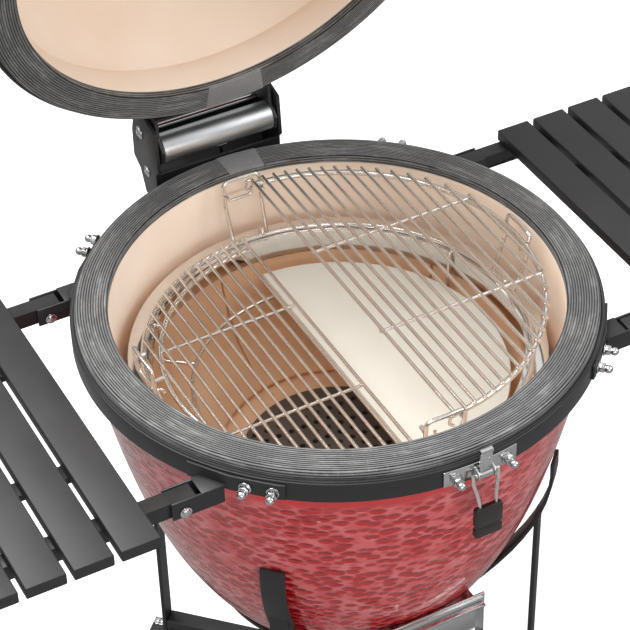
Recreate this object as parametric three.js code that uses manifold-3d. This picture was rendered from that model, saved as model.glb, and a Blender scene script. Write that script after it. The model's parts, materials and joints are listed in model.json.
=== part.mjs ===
// Kamado ceramic grill of the 24-inch class: a thick ceramic egg on a four-leg caster cart,
// with its lid standing open on a sprung hinge, two slatted fold-down shelves, a latch,
// a multi-panel firebox, and a wire rack that holds two half grates at two heights.
// Millimetres, +Z up, +X to the right shelf, -Y to the front (latch and ash drawer).
// Everything is laid out from the centre of the rim, where z = 0 is the top of the base
// gasket; the last lines move the origin to the floor under the middle of the whole grill.
import * as THREE from 'three';
import { mergeVertices } from 'three/addons/utils/BufferGeometryUtils.js';
import Module from 'manifold-3d';

// ---- driving dimensions ----------------------------------------------------------------
const RIM_HEIGHT = 880; // floor to the rim
const RIM_RADIUS = 355; // outside of the gaskets
const GASKET_WIDE = 45;
const GASKET_THICK = 12;
const GAP = 0.3; // between pieces that touch

const BASE_DEPTH = 503; // rim to the foot of the egg
const BASE_TAPER = 95; // how much the egg narrows evenly down to its foot
const BASE_CURL = 71; // and how much more it rounds in near the foot
const WALL = 28; // ceramic wall
const FLOOR_THICK = 20;

const LID_HEIGHT = 312; // rim to the crown of the dome
const LID_POWER = 2.3; // roundness of the dome, 2 is an ellipse
const LID_OPEN = 74.5; // degrees
const VENT_HOLE = 60;

const BAND_PROUD = 7; // how far the steel bands stand out past the gaskets
const BAND_THICK = 3;
const BAND_TOP = 14;
const BAND_HIGH = 31;

const PIVOT_BEHIND = 57; // hinge pin behind the gasket edge
const PIVOT_ABOVE = 42;
const HINGE_HALF = 101; // half width over the outer hinge plates
const HINGE_PLATE = 5;
const PIN_RADIUS = 5;
const SPRING_RADIUS = 21.5;
const SPRING_OFFSET = [-0.5, -39.3]; // y and z from the pin to the spring tube, lid shut

const RACK_TOP = 5;
const RACK_SEAT = -98; // top of the firebox ring that the rack stands on
const RACK_WIRE = 6;
const RING_WIRE = 8;
const LOOP_HALF = 29; // half width of an upright loop
const GRATE_BAR = 5;
const BAR_SUNK = 0.6; // how far a bar is welded into the wires under it
const GRATE_PITCH = 16.9;
const GRATE_SPLIT = 15; // from the middle to the straight edge of a half grate
const ROD_AT = 97;
const UPPER_GRATE_Z = -10.5;

const FIREBOX_PANELS = 5;
const FIREBOX_SEAM = 30; // degrees, one seam between panels
const PANEL_THICK = 28;
const FIREBOX_FLOOR_TOP = -303;
const FIREBOX_FLOOR_THICK = 27;
const CHARCOAL_RADIUS = 141;
const CHARCOAL_THICK = 12;

const DRAFT_HALF = 80; // half width of the draught opening
const DRAFT_LOW = 19 - BASE_DEPTH;
const DRAFT_HIGH = 70;
const DRAWER_SHEET = 2;
const DRAWER_LONG = RIM_RADIUS - 55;

const SHELF_ARM_Y = 215;
const SHELF_PIVOT_X = RIM_RADIUS - 15;
const SHELF_PIVOT_Z = -55;
const SHELF_TOP = -18;
const SLAT_THICK = 18;
const SLAT_WIDE = 53;
const SLAT_PITCH = 62;
const SLATS = 5;
const SLAT_START = RIM_RADIUS + 43;
const SLAT_FRONT = -290;
const SLAT_BACK = 232;
const SHELF_ARM_WIDE = 24;
const SHELF_ARM_HIGH = 24;
const FLANGE_ANGLE = 16; // how far round the band a bracket's flange reaches, in degrees

const LEG_RADIUS = RIM_RADIUS - 59; // outer face of a leg
const LEG_THICK = 6;
const LEG_WIDE = 26;
const ARM_THICK = 5;
const ARM_WIDE = 34;
const ARM_TOP = -232;
const CASTER_HIGH = 95;
const WHEEL_RADIUS = 38;
const WHEEL_WIDE = 26;
const CASTER_TRAIL = 22;

const LATCH_X = 8;
const LATCH_PIN = [-RIM_RADIUS - 18, -33]; // y and z of the latch pin
const RADIAL_STEPS = 36;

// ---- sizes that follow ---------------------------------------------------------------
const OPENING = RIM_RADIUS - GASKET_WIDE;
const BAND_RADIUS = RIM_RADIUS + BAND_PROUD;
const COLLAR = BAND_RADIUS - BAND_THICK - GAP; // ceramic inside a band
const BAND_LOW = BAND_TOP + BAND_HIGH;
const FLOOR_Z = -RIM_HEIGHT;
const RAD = Math.PI / 180;
const baseRadius = (z) => {
  const t = -z / BASE_DEPTH;
  return RIM_RADIUS - BASE_TAPER * t - BASE_CURL * t ** 4;
};
const domeRadius = (z, radius, height) =>
  radius * (1 - (z / height) ** LID_POWER) ** (1 / LID_POWER);

// ---- solids ---------------------------------------------------------------------------
const wasm = await Module();
wasm.setup();

function solid(geometry) {
  const bare = geometry.index ? geometry.toNonIndexed() : geometry.clone();
  bare.deleteAttribute('normal');
  bare.deleteAttribute('uv');
  const merged = mergeVertices(bare, 1e-3);
  const position = merged.attributes.position.array;
  const corner = (i) => new THREE.Vector3().fromArray(position, 3 * i);
  const triangles = [];
  let volume = 0;
  for (let i = 0; i < merged.index.count; i += 3) {
    const [a, b, c] = [0, 1, 2].map((k) => merged.index.array[i + k]);
    if (a === b || b === c || c === a) continue;
    triangles.push(a, b, c);
    volume += corner(a).dot(corner(b).cross(corner(c)));
  }
  if (volume < 0) triangles.reverse();
  const mesh = { numProp: 3, vertProperties: position, triVerts: new Uint32Array(triangles) };
  return new wasm.Manifold(new wasm.Mesh(mesh));
}

const join = (...solids) => solids.flat().reduce((whole, piece) => whole.add(piece));
const cut = (whole, ...tools) => tools.flat().reduce((rest, tool) => rest.subtract(tool), whole);

function box(x0, x1, y0, y1, z0, z1) {
  const block = new THREE.BoxGeometry(Math.abs(x1 - x0), Math.abs(y1 - y0), Math.abs(z1 - z0));
  return solid(block.translate((x0 + x1) / 2, (y0 + y1) / 2, (z0 + z1) / 2));
}

// A round bar from one point to another.
function rod(from, to, diameter, sides = 6) {
  const [a, b] = [new THREE.Vector3(...from), new THREE.Vector3(...to)];
  const along = b.clone().sub(a);
  const bar = new THREE.CylinderGeometry(diameter / 2, diameter / 2, along.length(), sides);
  const turn = new THREE.Quaternion().setFromUnitVectors(
    new THREE.Vector3(0, 1, 0), along.clone().normalize());
  const middle = a.clone().add(b).divideScalar(2);
  return solid(bar.applyQuaternion(turn).translate(middle.x, middle.y, middle.z));
}

// A profile of [radius, z] points turned about the Z axis.
function turned(profile, steps = RADIAL_STEPS) {
  const outline = profile.map(([r, z]) => new THREE.Vector2(r, z));
  if (profile[0][0] > 0) outline.push(outline[0].clone());
  return solid(new THREE.LatheGeometry(outline, steps).rotateX(Math.PI / 2));
}

// A wedge of space about the Z axis, between two angles in degrees.
function wedge(from, to, z0, z1, reach = 600) {
  const outline = new THREE.Shape([new THREE.Vector2(0, 0)]);
  const steps = Math.max(2, Math.ceil((to - from) / 30));
  for (let i = 0; i <= steps; i++) {
    const angle = (from + ((to - from) * i) / steps) * RAD;
    outline.lineTo(reach * Math.cos(angle), reach * Math.sin(angle));
  }
  const options = { depth: z1 - z0, bevelEnabled: false };
  return solid(new THREE.ExtrudeGeometry(outline, options).translate(0, 0, z0));
}

// A plate whose outline is drawn in Y and Z, from one x to another.
function sidePlate(outline, x0, x1) {
  const shape = new THREE.Shape(outline.map(([y, z]) => new THREE.Vector2(y, z)));
  const plate = new THREE.ExtrudeGeometry(shape, { depth: x1 - x0, bevelEnabled: false });
  const toWorld = new THREE.Matrix4().set(0, 0, 1, x0, 1, 0, 0, 0, 0, 1, 0, 0, 0, 0, 0, 1);
  return solid(plate.applyMatrix4(toWorld));
}

// A path through given points, one step to each.
class PointPath extends THREE.Curve {
  constructor(points) {
    super();
    this.points = points.map((p) => new THREE.Vector3(...p));
  }
  getPoint(t) {
    const at = t * (this.points.length - 1);
    const i = Math.min(Math.floor(at), this.points.length - 2);
    return this.points[i].clone().lerp(this.points[i + 1], at - i);
  }
  getPointAt(t) {
    return this.getPoint(t);
  }
  getTangentAt(t) {
    const half = 0.5 / (this.points.length - 1);
    const [before, after] = [Math.max(t - half, 0), Math.min(t + half, 1)];
    return this.getPoint(after).sub(this.getPoint(before)).normalize();
  }
}

function wire(points, diameter, sides = 4) {
  const section = new THREE.Shape();
  for (let i = 0; i < sides; i++) {
    const angle = (2 * Math.PI * i) / sides;
    const [x, y] = [Math.cos(angle), Math.sin(angle)].map((v) => (v * diameter) / 2);
    if (i) section.lineTo(x, y);
    else section.moveTo(x, y);
  }
  const extrudePath = new PointPath(points);
  return solid(new THREE.ExtrudeGeometry(section, {
    steps: points.length - 1, extrudePath, bevelEnabled: false,
  }));
}

const polar = (radius, degrees, z) => [
  radius * Math.cos(degrees * RAD), radius * Math.sin(degrees * RAD), z];

// A ring of wire of square section.
const wireRing = (radius, z, thick) => {
  const h = thick / 2;
  return turned([[radius - h, z - h], [radius + h, z - h], [radius + h, z + h], [radius - h, z + h]]);
};

// ---- scene ----------------------------------------------------------------------------
const FINISHES = {
  glaze: [0xb3121a, 0.2, 0],
  bisque: [0xe2bd9a, 0.9, 0],
  cream: [0xe9e4d8, 0.85, 0],
  felt: [0x6f7072, 0.95, 0],
  black: [0x1d1e1f, 0.5, 0.3],
  steel: [0xc9c8c4, 0.25, 1],
  iron: [0x2b2928, 0.8, 0.4],
  rubber: [0x151515, 0.9, 0],
};
const grill = new THREE.Group();
const egg = new THREE.Group();
const lid = new THREE.Group();
const lidShut = new THREE.Group(); // the lid is laid out shut, inside a group that opens it
grill.add(egg, lid);
lid.add(lidShut);

function add(name, body, finish, group = egg) {
  const { vertProperties, triVerts } = body.getMesh();
  const geometry = new THREE.BufferGeometry();
  geometry.setAttribute('position', new THREE.BufferAttribute(vertProperties, 3));
  geometry.setIndex(new THREE.BufferAttribute(triVerts, 1));
  geometry.computeVertexNormals();
  const [color, roughness, metalness] = FINISHES[finish];
  const mesh = new THREE.Mesh(geometry,
    new THREE.MeshStandardMaterial({ color, roughness, metalness }));
  mesh.name = name;
  group.add(mesh);
  return mesh;
}

// ---- the egg's base -------------------------------------------------------------------
const FIREBOX_INNER = OPENING - 48; // inside of the firebox at its top
const FIREBOX_TOP = RACK_SEAT - 2 - 2 * GAP;
const FIREBOX_FLOOR_LOW = FIREBOX_FLOOR_TOP - FIREBOX_FLOOR_THICK;
const LEDGE = FIREBOX_FLOOR_LOW - GAP; // the firebox floor stands on it
const LEDGE_INNER = baseRadius(LEDGE) - WALL - 20;
const PANEL_CLEAR = 8;

function ceramicBase() {
  const rim = -GASKET_THICK - GAP;
  const outside = [];
  for (let z = -90; z > -BASE_DEPTH + 8; z -= 56) outside.push([baseRadius(z), z]);
  const profile = [
    [0, -BASE_DEPTH + FLOOR_THICK],
    [baseRadius(-BASE_DEPTH) - WALL, -BASE_DEPTH + FLOOR_THICK],
    [baseRadius(-430) - WALL, -430],
    [LEDGE_INNER, LEDGE - 45],
    [LEDGE_INNER, LEDGE],
    [baseRadius(LEDGE) - WALL, LEDGE],
    [baseRadius(-240) - WALL, -240],
    [baseRadius(-170) - WALL, -170],
    [OPENING, -100],
    [OPENING, rim],
    [RIM_RADIUS - 3, rim],
    [COLLAR, rim - BAND_PROUD],
    [COLLAR, -BAND_LOW],
    [COLLAR - 6, -BAND_LOW - 6],
    ...outside,
    [baseRadius(-BASE_DEPTH), -BASE_DEPTH],
    [0, -BASE_DEPTH],
  ];
  const opening = box(-DRAFT_HALF, DRAFT_HALF, -RIM_RADIUS, -120, DRAFT_LOW, DRAFT_LOW + DRAFT_HIGH);
  return cut(turned(profile), opening);
}

const gasket = (low) => turned([
  [OPENING, low], [RIM_RADIUS, low], [RIM_RADIUS, low + GASKET_THICK], [OPENING, low + GASKET_THICK]]);
const band = (low) => turned([
  [BAND_RADIUS - BAND_THICK, low], [BAND_RADIUS, low],
  [BAND_RADIUS, low + BAND_HIGH], [BAND_RADIUS - BAND_THICK, low + BAND_HIGH]]);

add('ceramic_base', ceramicBase(), 'glaze');
add('base_gasket', gasket(-GASKET_THICK), 'felt');
add('base_band', band(-BAND_LOW), 'black');

// ---- firebox --------------------------------------------------------------------------
function fireboxPanels() {
  const foot = FIREBOX_FLOOR_TOP + GAP;
  const bowl = (share) => FIREBOX_TOP + (foot - FIREBOX_TOP) * share;
  const room = baseRadius(bowl(0.3)) - WALL - PANEL_CLEAR / 2;
  const outer = Math.min(FIREBOX_INNER + PANEL_THICK, room);
  const shell = turned([
    [FIREBOX_INNER, FIREBOX_TOP], [outer, FIREBOX_TOP], [outer, bowl(0.3)],
    [baseRadius(bowl(0.65)) - WALL - PANEL_CLEAR, bowl(0.65)],
    [baseRadius(foot) - WALL - PANEL_CLEAR, foot], [CHARCOAL_RADIUS + 24, foot],
    [FIREBOX_INNER - 68, bowl(0.88)], [FIREBOX_INNER - 34, bowl(0.7)],
    [FIREBOX_INNER - 12, bowl(0.48)], [FIREBOX_INNER, bowl(0.25)]]);
  const step = 360 / FIREBOX_PANELS;
  const seam = (GAP / FIREBOX_INNER / RAD) * 4;
  for (let i = 0; i < FIREBOX_PANELS; i++) {
    const from = FIREBOX_SEAM + i * step;
    const sector = wedge(from + seam, from + step - seam, foot - 10, FIREBOX_TOP + 10);
    add(`firebox_panel_${i + 1}`, shell.intersect(sector), 'bisque');
  }
}

function fireboxFloor() {
  const grateLow = FIREBOX_FLOOR_TOP - CHARCOAL_THICK + 3;
  return turned([
    [CHARCOAL_RADIUS - 14, FIREBOX_FLOOR_LOW],
    [baseRadius(FIREBOX_FLOOR_LOW) - WALL - 4, FIREBOX_FLOOR_LOW],
    [baseRadius(FIREBOX_FLOOR_LOW) - WALL - 4, FIREBOX_FLOOR_TOP],
    [CHARCOAL_RADIUS + 1, FIREBOX_FLOOR_TOP],
    [CHARCOAL_RADIUS + 1, grateLow - GAP],
    [CHARCOAL_RADIUS - 14, grateLow - GAP]]);
}

function charcoalGrate() {
  const low = FIREBOX_FLOOR_TOP - CHARCOAL_THICK + 3;
  const top = low + CHARCOAL_THICK;
  const plate = turned([[0, low], [CHARCOAL_RADIUS, low], [CHARCOAL_RADIUS, top], [0, top]]);
  const holes = [rod([0, 0, low - 1], [0, 0, top + 1], 15)];
  for (const [count, radius] of [[6, 38], [10, 76], [14, 112]])
    for (let i = 0; i < count; i++) {
      const angle = (360 * i) / count;
      holes.push(rod(polar(radius, angle, low - 1), polar(radius, angle, top + 1), 15));
    }
  return cut(plate, holes);
}

// A sheet ring over the tops of the panels, with a skirt down their inner faces.
const fireboxBand = () => turned([
  [FIREBOX_INNER - 4, RACK_SEAT - 36], [FIREBOX_INNER - 2, RACK_SEAT - 36],
  [FIREBOX_INNER - 2, RACK_SEAT - 2 - GAP], [FIREBOX_INNER + PANEL_THICK, RACK_SEAT - 2 - GAP],
  [FIREBOX_INNER + PANEL_THICK, RACK_SEAT - GAP], [FIREBOX_INNER - 4, RACK_SEAT - GAP]]);

fireboxPanels();
add('firebox_floor', fireboxFloor(), 'bisque');
add('firebox_band', fireboxBand(), 'steel');
add('charcoal_grate', charcoalGrate(), 'iron');

// ---- cooking rack, grates and deflector -----------------------------------------------
const RACK_RING = FIREBOX_INNER + 6;
const LOOP_RADIUS = OPENING - 19;
const RACK_RING_Z = RACK_SEAT + RING_WIRE / 2;
const PEG_Z = UPPER_GRATE_Z - RING_WIRE / 2 - 0.5 - RACK_WIRE / 2;
const UPPER_RING = OPENING - 28;
const LOWER_RING = FIREBOX_INNER - 18;
const LOWER_BAR_Z = RACK_RING_Z + RING_WIRE / 2 + GAP + BAR_SUNK + GRATE_BAR / 2;

function rackLoop(facing) {
  const side = Math.asin(LOOP_HALF / LOOP_RADIUS) / RAD;
  const corner = 0.75 * side;
  const loop = wire([
    polar(RACK_RING, facing - side, RACK_RING_Z), polar(LOOP_RADIUS - 4, facing - side, -40),
    polar(LOOP_RADIUS, facing - side, RACK_TOP - 9), polar(LOOP_RADIUS, facing - corner, RACK_TOP - 3),
    polar(LOOP_RADIUS, facing + corner, RACK_TOP - 3), polar(LOOP_RADIUS, facing + side, RACK_TOP - 9),
    polar(LOOP_RADIUS - 4, facing + side, -40), polar(RACK_RING, facing + side, RACK_RING_Z)], RACK_WIRE);
  const pegs = [-side, side].map((s) => rod(
    polar(LOOP_RADIUS - 1, facing + s, PEG_Z), polar(UPPER_RING - 8, facing + s, PEG_Z), RACK_WIRE));
  return join(loop, pegs);
}

const cookingRack = () => join(
  wireRing(RACK_RING, RACK_RING_Z, RING_WIRE), [0, 90, 180, 270].map(rackLoop));

// Half a grate: bars along Y over a half ring, with two cross rods; side is 1 for +X.
function halfGrate(side, ringRadius, barReach, ringZ, barZ) {
  const under = (ringZ + barZ) / 2;
  const cutter = box(side * (GRATE_SPLIT - 2), side * 400, -400, 400, ringZ - 20, barZ + 20);
  const pieces = [wireRing(ringRadius, ringZ, RING_WIRE).intersect(cutter)];
  for (let k = 0; ; k++) {
    const x = GRATE_SPLIT + k * GRATE_PITCH;
    if (x > ringRadius - GRATE_PITCH / 2) break;
    const reach = Math.sqrt(barReach ** 2 - x ** 2);
    const half = GRATE_BAR / 2;
    pieces.push(box(side * (x - half), side * (x + half), -reach, reach, barZ - half - BAR_SUNK, barZ + half));
  }
  for (const y of [-ROD_AT, ROD_AT]) {
    const reach = Math.sqrt(ringRadius ** 2 - y ** 2);
    pieces.push(box(side * (GRATE_SPLIT - 2), side * reach, y - 2.5, y + 2.5, under - 3.5, under + 1.5));
  }
  return join(pieces);
}

const DEFLECTOR_RADIUS = FIREBOX_INNER - 22;
const DEFLECTOR_TOP = -143;
const DEFLECTOR_THICK = 14;
const DEFLECTOR_RING = DEFLECTOR_RADIUS - 36;
const DEFLECTOR_RING_Z = DEFLECTOR_TOP - DEFLECTOR_THICK - GAP - RACK_WIRE / 2;
const DEFLECTOR_RUNGS = [60, 160]; // both under the half plate

function deflectorRack() {
  const hangers = [22, 142, 262].map((angle) => {
    const drop = FIREBOX_INNER - 9.5;
    const seat = RACK_SEAT + RACK_WIRE / 2;
    return wire([
      polar(DEFLECTOR_RING, angle, DEFLECTOR_RING_Z), polar(drop - 8, angle, DEFLECTOR_RING_Z),
      polar(drop, angle, DEFLECTOR_RING_Z + 8), polar(drop, angle, seat - 3),
      polar(drop + 2, angle, seat), polar(FIREBOX_INNER - 2, angle, seat)], RACK_WIRE);
  });
  const rungs = DEFLECTOR_RUNGS.map((x) => {
    const reach = Math.sqrt(DEFLECTOR_RING ** 2 - x ** 2);
    return rod([x, -reach, DEFLECTOR_RING_Z], [x, reach, DEFLECTOR_RING_Z], RACK_WIRE, 4);
  });
  return join(wireRing(DEFLECTOR_RING, DEFLECTOR_RING_Z, RACK_WIRE), hangers, rungs);
}

function heatDeflector() {
  const low = DEFLECTOR_TOP - DEFLECTOR_THICK;
  const disc = turned([
    [0, low], [DEFLECTOR_RADIUS, low], [DEFLECTOR_RADIUS, DEFLECTOR_TOP], [0, DEFLECTOR_TOP]]);
  return disc.intersect(box(4, 400, -400, 400, low - 5, DEFLECTOR_TOP + 5));
}

add('cooking_rack', cookingRack(), 'steel');
add('upper_half_grate', halfGrate(1, UPPER_RING, UPPER_RING + 4.5, UPPER_GRATE_Z,
  UPPER_GRATE_Z + RING_WIRE / 2 + GRATE_BAR / 2), 'steel');
add('lower_half_grate', halfGrate(-1, LOWER_RING, RACK_RING - 1.5,
  LOWER_BAR_Z - GRATE_BAR / 2 - RING_WIRE / 2, LOWER_BAR_Z), 'steel');
add('deflector_rack', deflectorRack(), 'steel');
add('heat_deflector', heatDeflector(), 'cream');

// ---- draught frame, ash drawer and draught door ----------------------------------------
const COLLAR_OUT = DRAFT_HALF - GAP;
const DRAFT_FACE = -(baseRadius(DRAFT_LOW + DRAFT_HIGH + 12) + 5); // front face of the frame's flange
const drawerHalf = COLLAR_OUT - DRAWER_SHEET - GAP;
const drawerLow = DRAFT_LOW + GAP + DRAWER_SHEET + GAP;
const drawerTop = DRAFT_LOW + DRAFT_HIGH - GAP - DRAWER_SHEET - 4;

function draftFrame() {
  const [low, top] = [DRAFT_LOW + GAP, DRAFT_LOW + DRAFT_HIGH - GAP];
  const outer = join(
    box(-COLLAR_OUT, COLLAR_OUT, DRAFT_FACE, DRAFT_FACE + 60, low, top),
    box(-COLLAR_OUT - 12, COLLAR_OUT + 12, DRAFT_FACE, DRAFT_FACE + 3, low - 10, top + 10));
  const inside = COLLAR_OUT - DRAWER_SHEET;
  return cut(outer, box(-inside, inside, DRAFT_FACE - 5, DRAFT_FACE + 70,
    low + DRAWER_SHEET, top - DRAWER_SHEET));
}

function ashDrawer() {
  const front = DRAFT_FACE - GAP;
  const [back, sheet] = [DRAFT_FACE + DRAWER_LONG, DRAWER_SHEET];
  const tray = cut(
    box(-drawerHalf, drawerHalf, front - 3, back, drawerLow, drawerTop - 10),
    box(-drawerHalf + sheet, drawerHalf - sheet, front, back - sheet, drawerLow + sheet, drawerTop));
  const face = cut(
    box(-drawerHalf - 10, drawerHalf + 10, front - 3, front, DRAFT_LOW - 8, drawerTop + 12),
    box(-drawerHalf + 12, drawerHalf - 12, front - 9, front + 9, drawerLow + 16, drawerTop - 9));
  const rails = [drawerLow + 4, drawerTop - 1].map((z) =>
    box(-drawerHalf - 10, drawerHalf + 10, front - 10, front - 2.5, z, z + 4));
  return join(tray, face, rails);
}

function draftDoor() {
  const front = DRAFT_FACE - GAP - 3 - GAP;
  const door = box(-drawerHalf + 4, drawerHalf - 4, front - 3, front,
    drawerLow + 8 + GAP, drawerTop - 1 - GAP);
  const knob = rod([-40, front - 2, (drawerLow + drawerTop) / 2],
    [-40, front - 24, (drawerLow + drawerTop) / 2], 16, 12);
  return join(door, knob);
}

add('draft_frame', draftFrame(), 'steel');
add('ash_drawer', ashDrawer(), 'steel');
add('draft_door', draftDoor(), 'steel');

// ---- latch ------------------------------------------------------------------------------
const latchAngle = -90 + Math.asin(LATCH_X / BAND_RADIUS) / RAD;
const curvedPlate = (low, high, half) => turned([
  [BAND_RADIUS + GAP, low], [BAND_RADIUS + 3, low], [BAND_RADIUS + 3, high], [BAND_RADIUS + GAP, high],
]).intersect(wedge(latchAngle - half, latchAngle + half, low - 5, high + 5));

function latchPlate() {
  const [y, z] = LATCH_PIN;
  const ears = [-1, 1].map((s) => sidePlate(
    [[y - 6, z - 6], [-BAND_RADIUS - 1, z - 8], [-BAND_RADIUS - 1, z + 14], [y - 6, z + 6]],
    LATCH_X + (s < 0 ? -13 : 10.4), LATCH_X + (s < 0 ? -10.4 : 13)));
  const hole = rod([LATCH_X - 20, y, z], [LATCH_X + 20, y, z], 6 + 2 * GAP, 12);
  return cut(join(curvedPlate(-BAND_LOW + 2, -BAND_TOP - 4, 8.5), ears), hole);
}

function latchHook() {
  const [y, z] = LATCH_PIN;
  const plate = box(LATCH_X - 9, LATCH_X + 9, y - 1.5, y + 1.5, z, 5);
  const roll = rod([LATCH_X - 9, y, 6], [LATCH_X + 9, y, 6], 8, 10);
  const barrel = rod([LATCH_X - 10, y, z], [LATCH_X + 10, y, z], 10, 10);
  const pin = rod([LATCH_X - 15, y, z], [LATCH_X + 15, y, z], 6, 10);
  return join(plate, roll, barrel, pin);
}

function latchHandle() {
  const [y, z] = LATCH_PIN;
  const pull = box(LATCH_X - 20, LATCH_X + 20, y - 14, y - 5, z - 97, z - 47);
  const wires = [-1, 1].map((s) => wire([
    [LATCH_X + s * 18, y, z + 3], [LATCH_X + s * 18, y - 2, z - 12], [LATCH_X + s * 14, y - 5, z - 28],
    [LATCH_X + s * 12, y - 8, z - 42], [LATCH_X + s * 12, y - 9.5, z - 55]], 5, 6));
  return join(pull, wires);
}

function latchKeeper() {
  const plate = curvedPlate(BAND_TOP + 4, BAND_LOW - 4, 4);
  const lip = box(LATCH_X - 10, LATCH_X + 10, -BAND_RADIUS - 11, -BAND_RADIUS - 1, BAND_TOP + 6, BAND_TOP + 9);
  return join(plate, lip);
}

add('latch_plate', latchPlate(), 'steel');
add('latch_hook', latchHook(), 'steel');
add('latch_handle', latchHandle(), 'black');
add('latch_keeper', latchKeeper(), 'steel', lidShut);

// ---- shelves ----------------------------------------------------------------------------
const ARM_UP = SHELF_TOP - SLAT_THICK - GAP;
const ARM_DOWN = ARM_UP - SHELF_ARM_HIGH;
const SHELF_END = SLAT_START + (SLATS - 1) * SLAT_PITCH + SLAT_WIDE;
const TAIL = SHELF_ARM_HIGH / 2 + 5;

// Right-hand pieces; the left ones are their mirror images, side -1.
function shelfArm(side, y) {
  const half = SHELF_ARM_WIDE / 2;
  const bar = box(side * (SHELF_PIVOT_X - TAIL), side * (SHELF_END - 10), y - half, y + half, ARM_DOWN, ARM_UP);
  const hole = rod([side * SHELF_PIVOT_X, y - 30, SHELF_PIVOT_Z],
    [side * SHELF_PIVOT_X, y + 30, SHELF_PIVOT_Z], 8.6 + 2 * GAP, 12);
  return cut(bar, hole);
}

function shelfBracket(side, y) {
  const sheet = 3;
  const inner = SHELF_ARM_WIDE / 2 + 2 * GAP + 0.4;
  const bandX = (at) => Math.sqrt((BAND_RADIUS + GAP) ** 2 - at ** 2);
  const [top, low] = [ARM_UP + 1, ARM_DOWN - 3];
  const inwards = Math.abs(y) - inner - sheet;
  const start = bandX(Math.abs(y)) - 6;
  const end = SHELF_PIVOT_X + 18;
  const webEnd = SHELF_PIVOT_X - TAIL - 10;
  const plates = [y - inner - sheet, y + inner].map((from) =>
    box(side * start, side * end, from, from + sheet, low, top));
  const web = box(side * start, side * webEnd, y - inner - 1, y + inner + 1, low, low + sheet);
  const bolt = rod([side * SHELF_PIVOT_X, y - inner - 1, SHELF_PIVOT_Z],
    [side * SHELF_PIVOT_X, y + inner + 1, SHELF_PIVOT_Z], 8, 10);
  const along = Math.atan2(y, side * bandX(inwards)) / RAD;
  const turn = Math.sign(y) * side;
  const [from, to] = [along - turn * 5, along + turn * FLANGE_ANGLE].sort((a, b) => a - b);
  const flange = turned([
    [BAND_RADIUS + GAP, -BAND_LOW + 3], [BAND_RADIUS + 4, -BAND_LOW + 3],
    [BAND_RADIUS + 4, -BAND_TOP - 4], [BAND_RADIUS + GAP, -BAND_TOP - 4]]);
  const room = turned([[0, low - 5], [BAND_RADIUS + GAP, low - 5],
    [BAND_RADIUS + GAP, 0], [0, 0]]);
  return join(cut(join(plates, web), room), flange.intersect(wedge(from, to, low, 0)), bolt);
}

function shelfTop(side) {
  const pieces = [];
  for (let i = 0; i < SLATS; i++) {
    const x = SLAT_START + i * SLAT_PITCH;
    pieces.push(box(side * x, side * (x + SLAT_WIDE), SLAT_FRONT, SLAT_BACK,
      SHELF_TOP - SLAT_THICK, SHELF_TOP));
  }
  const under = SHELF_TOP - SLAT_THICK;
  for (const y of [-110, 110])
    pieces.push(box(side * (SLAT_START + 10), side * (SHELF_END - 10), y - 13, y + 13, under - 10, under + 1));
  return join(pieces);
}

for (const [side, hand] of [[1, 'right'], [-1, 'left']]) {
  for (const [y, place] of [[-SHELF_ARM_Y, 'front'], [SHELF_ARM_Y, 'rear']]) {
    add(`shelf_bracket_${hand}_${place}`, shelfBracket(side, y), 'black');
    add(`shelf_arm_${hand}_${place}`, shelfArm(side, y), 'black');
  }
  add(`shelf_slats_${hand}`, shelfTop(side), 'black');
}

// ---- hinge --------------------------------------------------------------------------------
const PIVOT_Y = RIM_RADIUS + PIVOT_BEHIND;
const PIVOT_Z = PIVOT_ABOVE;
const LEAF_Y = BAND_RADIUS + GAP; // the flat leaves touch the bands here
const LID_ARM_OUT = HINGE_HALF - HINGE_PLATE - 3;
const pinHole = (diameter) => rod(
  [-HINGE_HALF - 10, PIVOT_Y, PIVOT_Z], [HINGE_HALF + 10, PIVOT_Y, PIVOT_Z], diameter, 16);

// The base bracket is a pan that the sprung tube drops behind when the lid is up.
function hingeBase() {
  const low = -60;
  const half = HINGE_HALF - 1;
  const leaf = box(-half, half, LEAF_Y, LEAF_Y + HINGE_PLATE, low, -5);
  const under = [
    [LEAF_Y, low], [PIVOT_Y - 7, low], [PIVOT_Y + 8, low + 33], [PIVOT_Y + 29, low + 46], [PIVOT_Y + 29, 32]];
  const outline = [...under, [PIVOT_Y + 20, PIVOT_Z + 18],
    [PIVOT_Y - 12, PIVOT_Z + 38], [PIVOT_Y - 53, PIVOT_Z + 27], [PIVOT_Y - 58, 5], [LEAF_Y, -4]];
  const plates = [-HINGE_HALF, HINGE_HALF - HINGE_PLATE].map((x) => sidePlate(outline, x, x + HINGE_PLATE));
  const upper = [
    [PIVOT_Y + 25, 32], [PIVOT_Y + 25, low + 48], [PIVOT_Y + 5, low + 36], [PIVOT_Y - 10, low + 4],
    [LEAF_Y, low + 4]];
  const shell = sidePlate([...under, ...upper], -half, half);
  return cut(join(leaf, plates, shell), pinHole(2 * (PIN_RADIUS + GAP)));
}

function hingeLid() {
  const high = BAND_LOW + 12;
  const leaf = box(-LID_ARM_OUT + 1, LID_ARM_OUT - 1, LEAF_Y, LEAF_Y + HINGE_PLATE, BAND_TOP, high);
  const [springY, springZ] = [PIVOT_Y + SPRING_OFFSET[0], PIVOT_Z + SPRING_OFFSET[1]];
  const outline = [
    [LEAF_Y, BAND_TOP], [LEAF_Y, high], [PIVOT_Y - 10, PIVOT_Z + 22], [PIVOT_Y + 12, PIVOT_Z + 14],
    [springY + 22, springZ + 8], [springY + 22, springZ - 12], [springY + 8, springZ - 22],
    [springY - 12, springZ - 20], [springY - 22, springZ]];
  const arms = [-LID_ARM_OUT, LID_ARM_OUT - HINGE_PLATE].map((x) => sidePlate(outline, x, x + HINGE_PLATE));
  return cut(join(leaf, arms), pinHole(2 * (PIN_RADIUS + GAP)));
}

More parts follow.
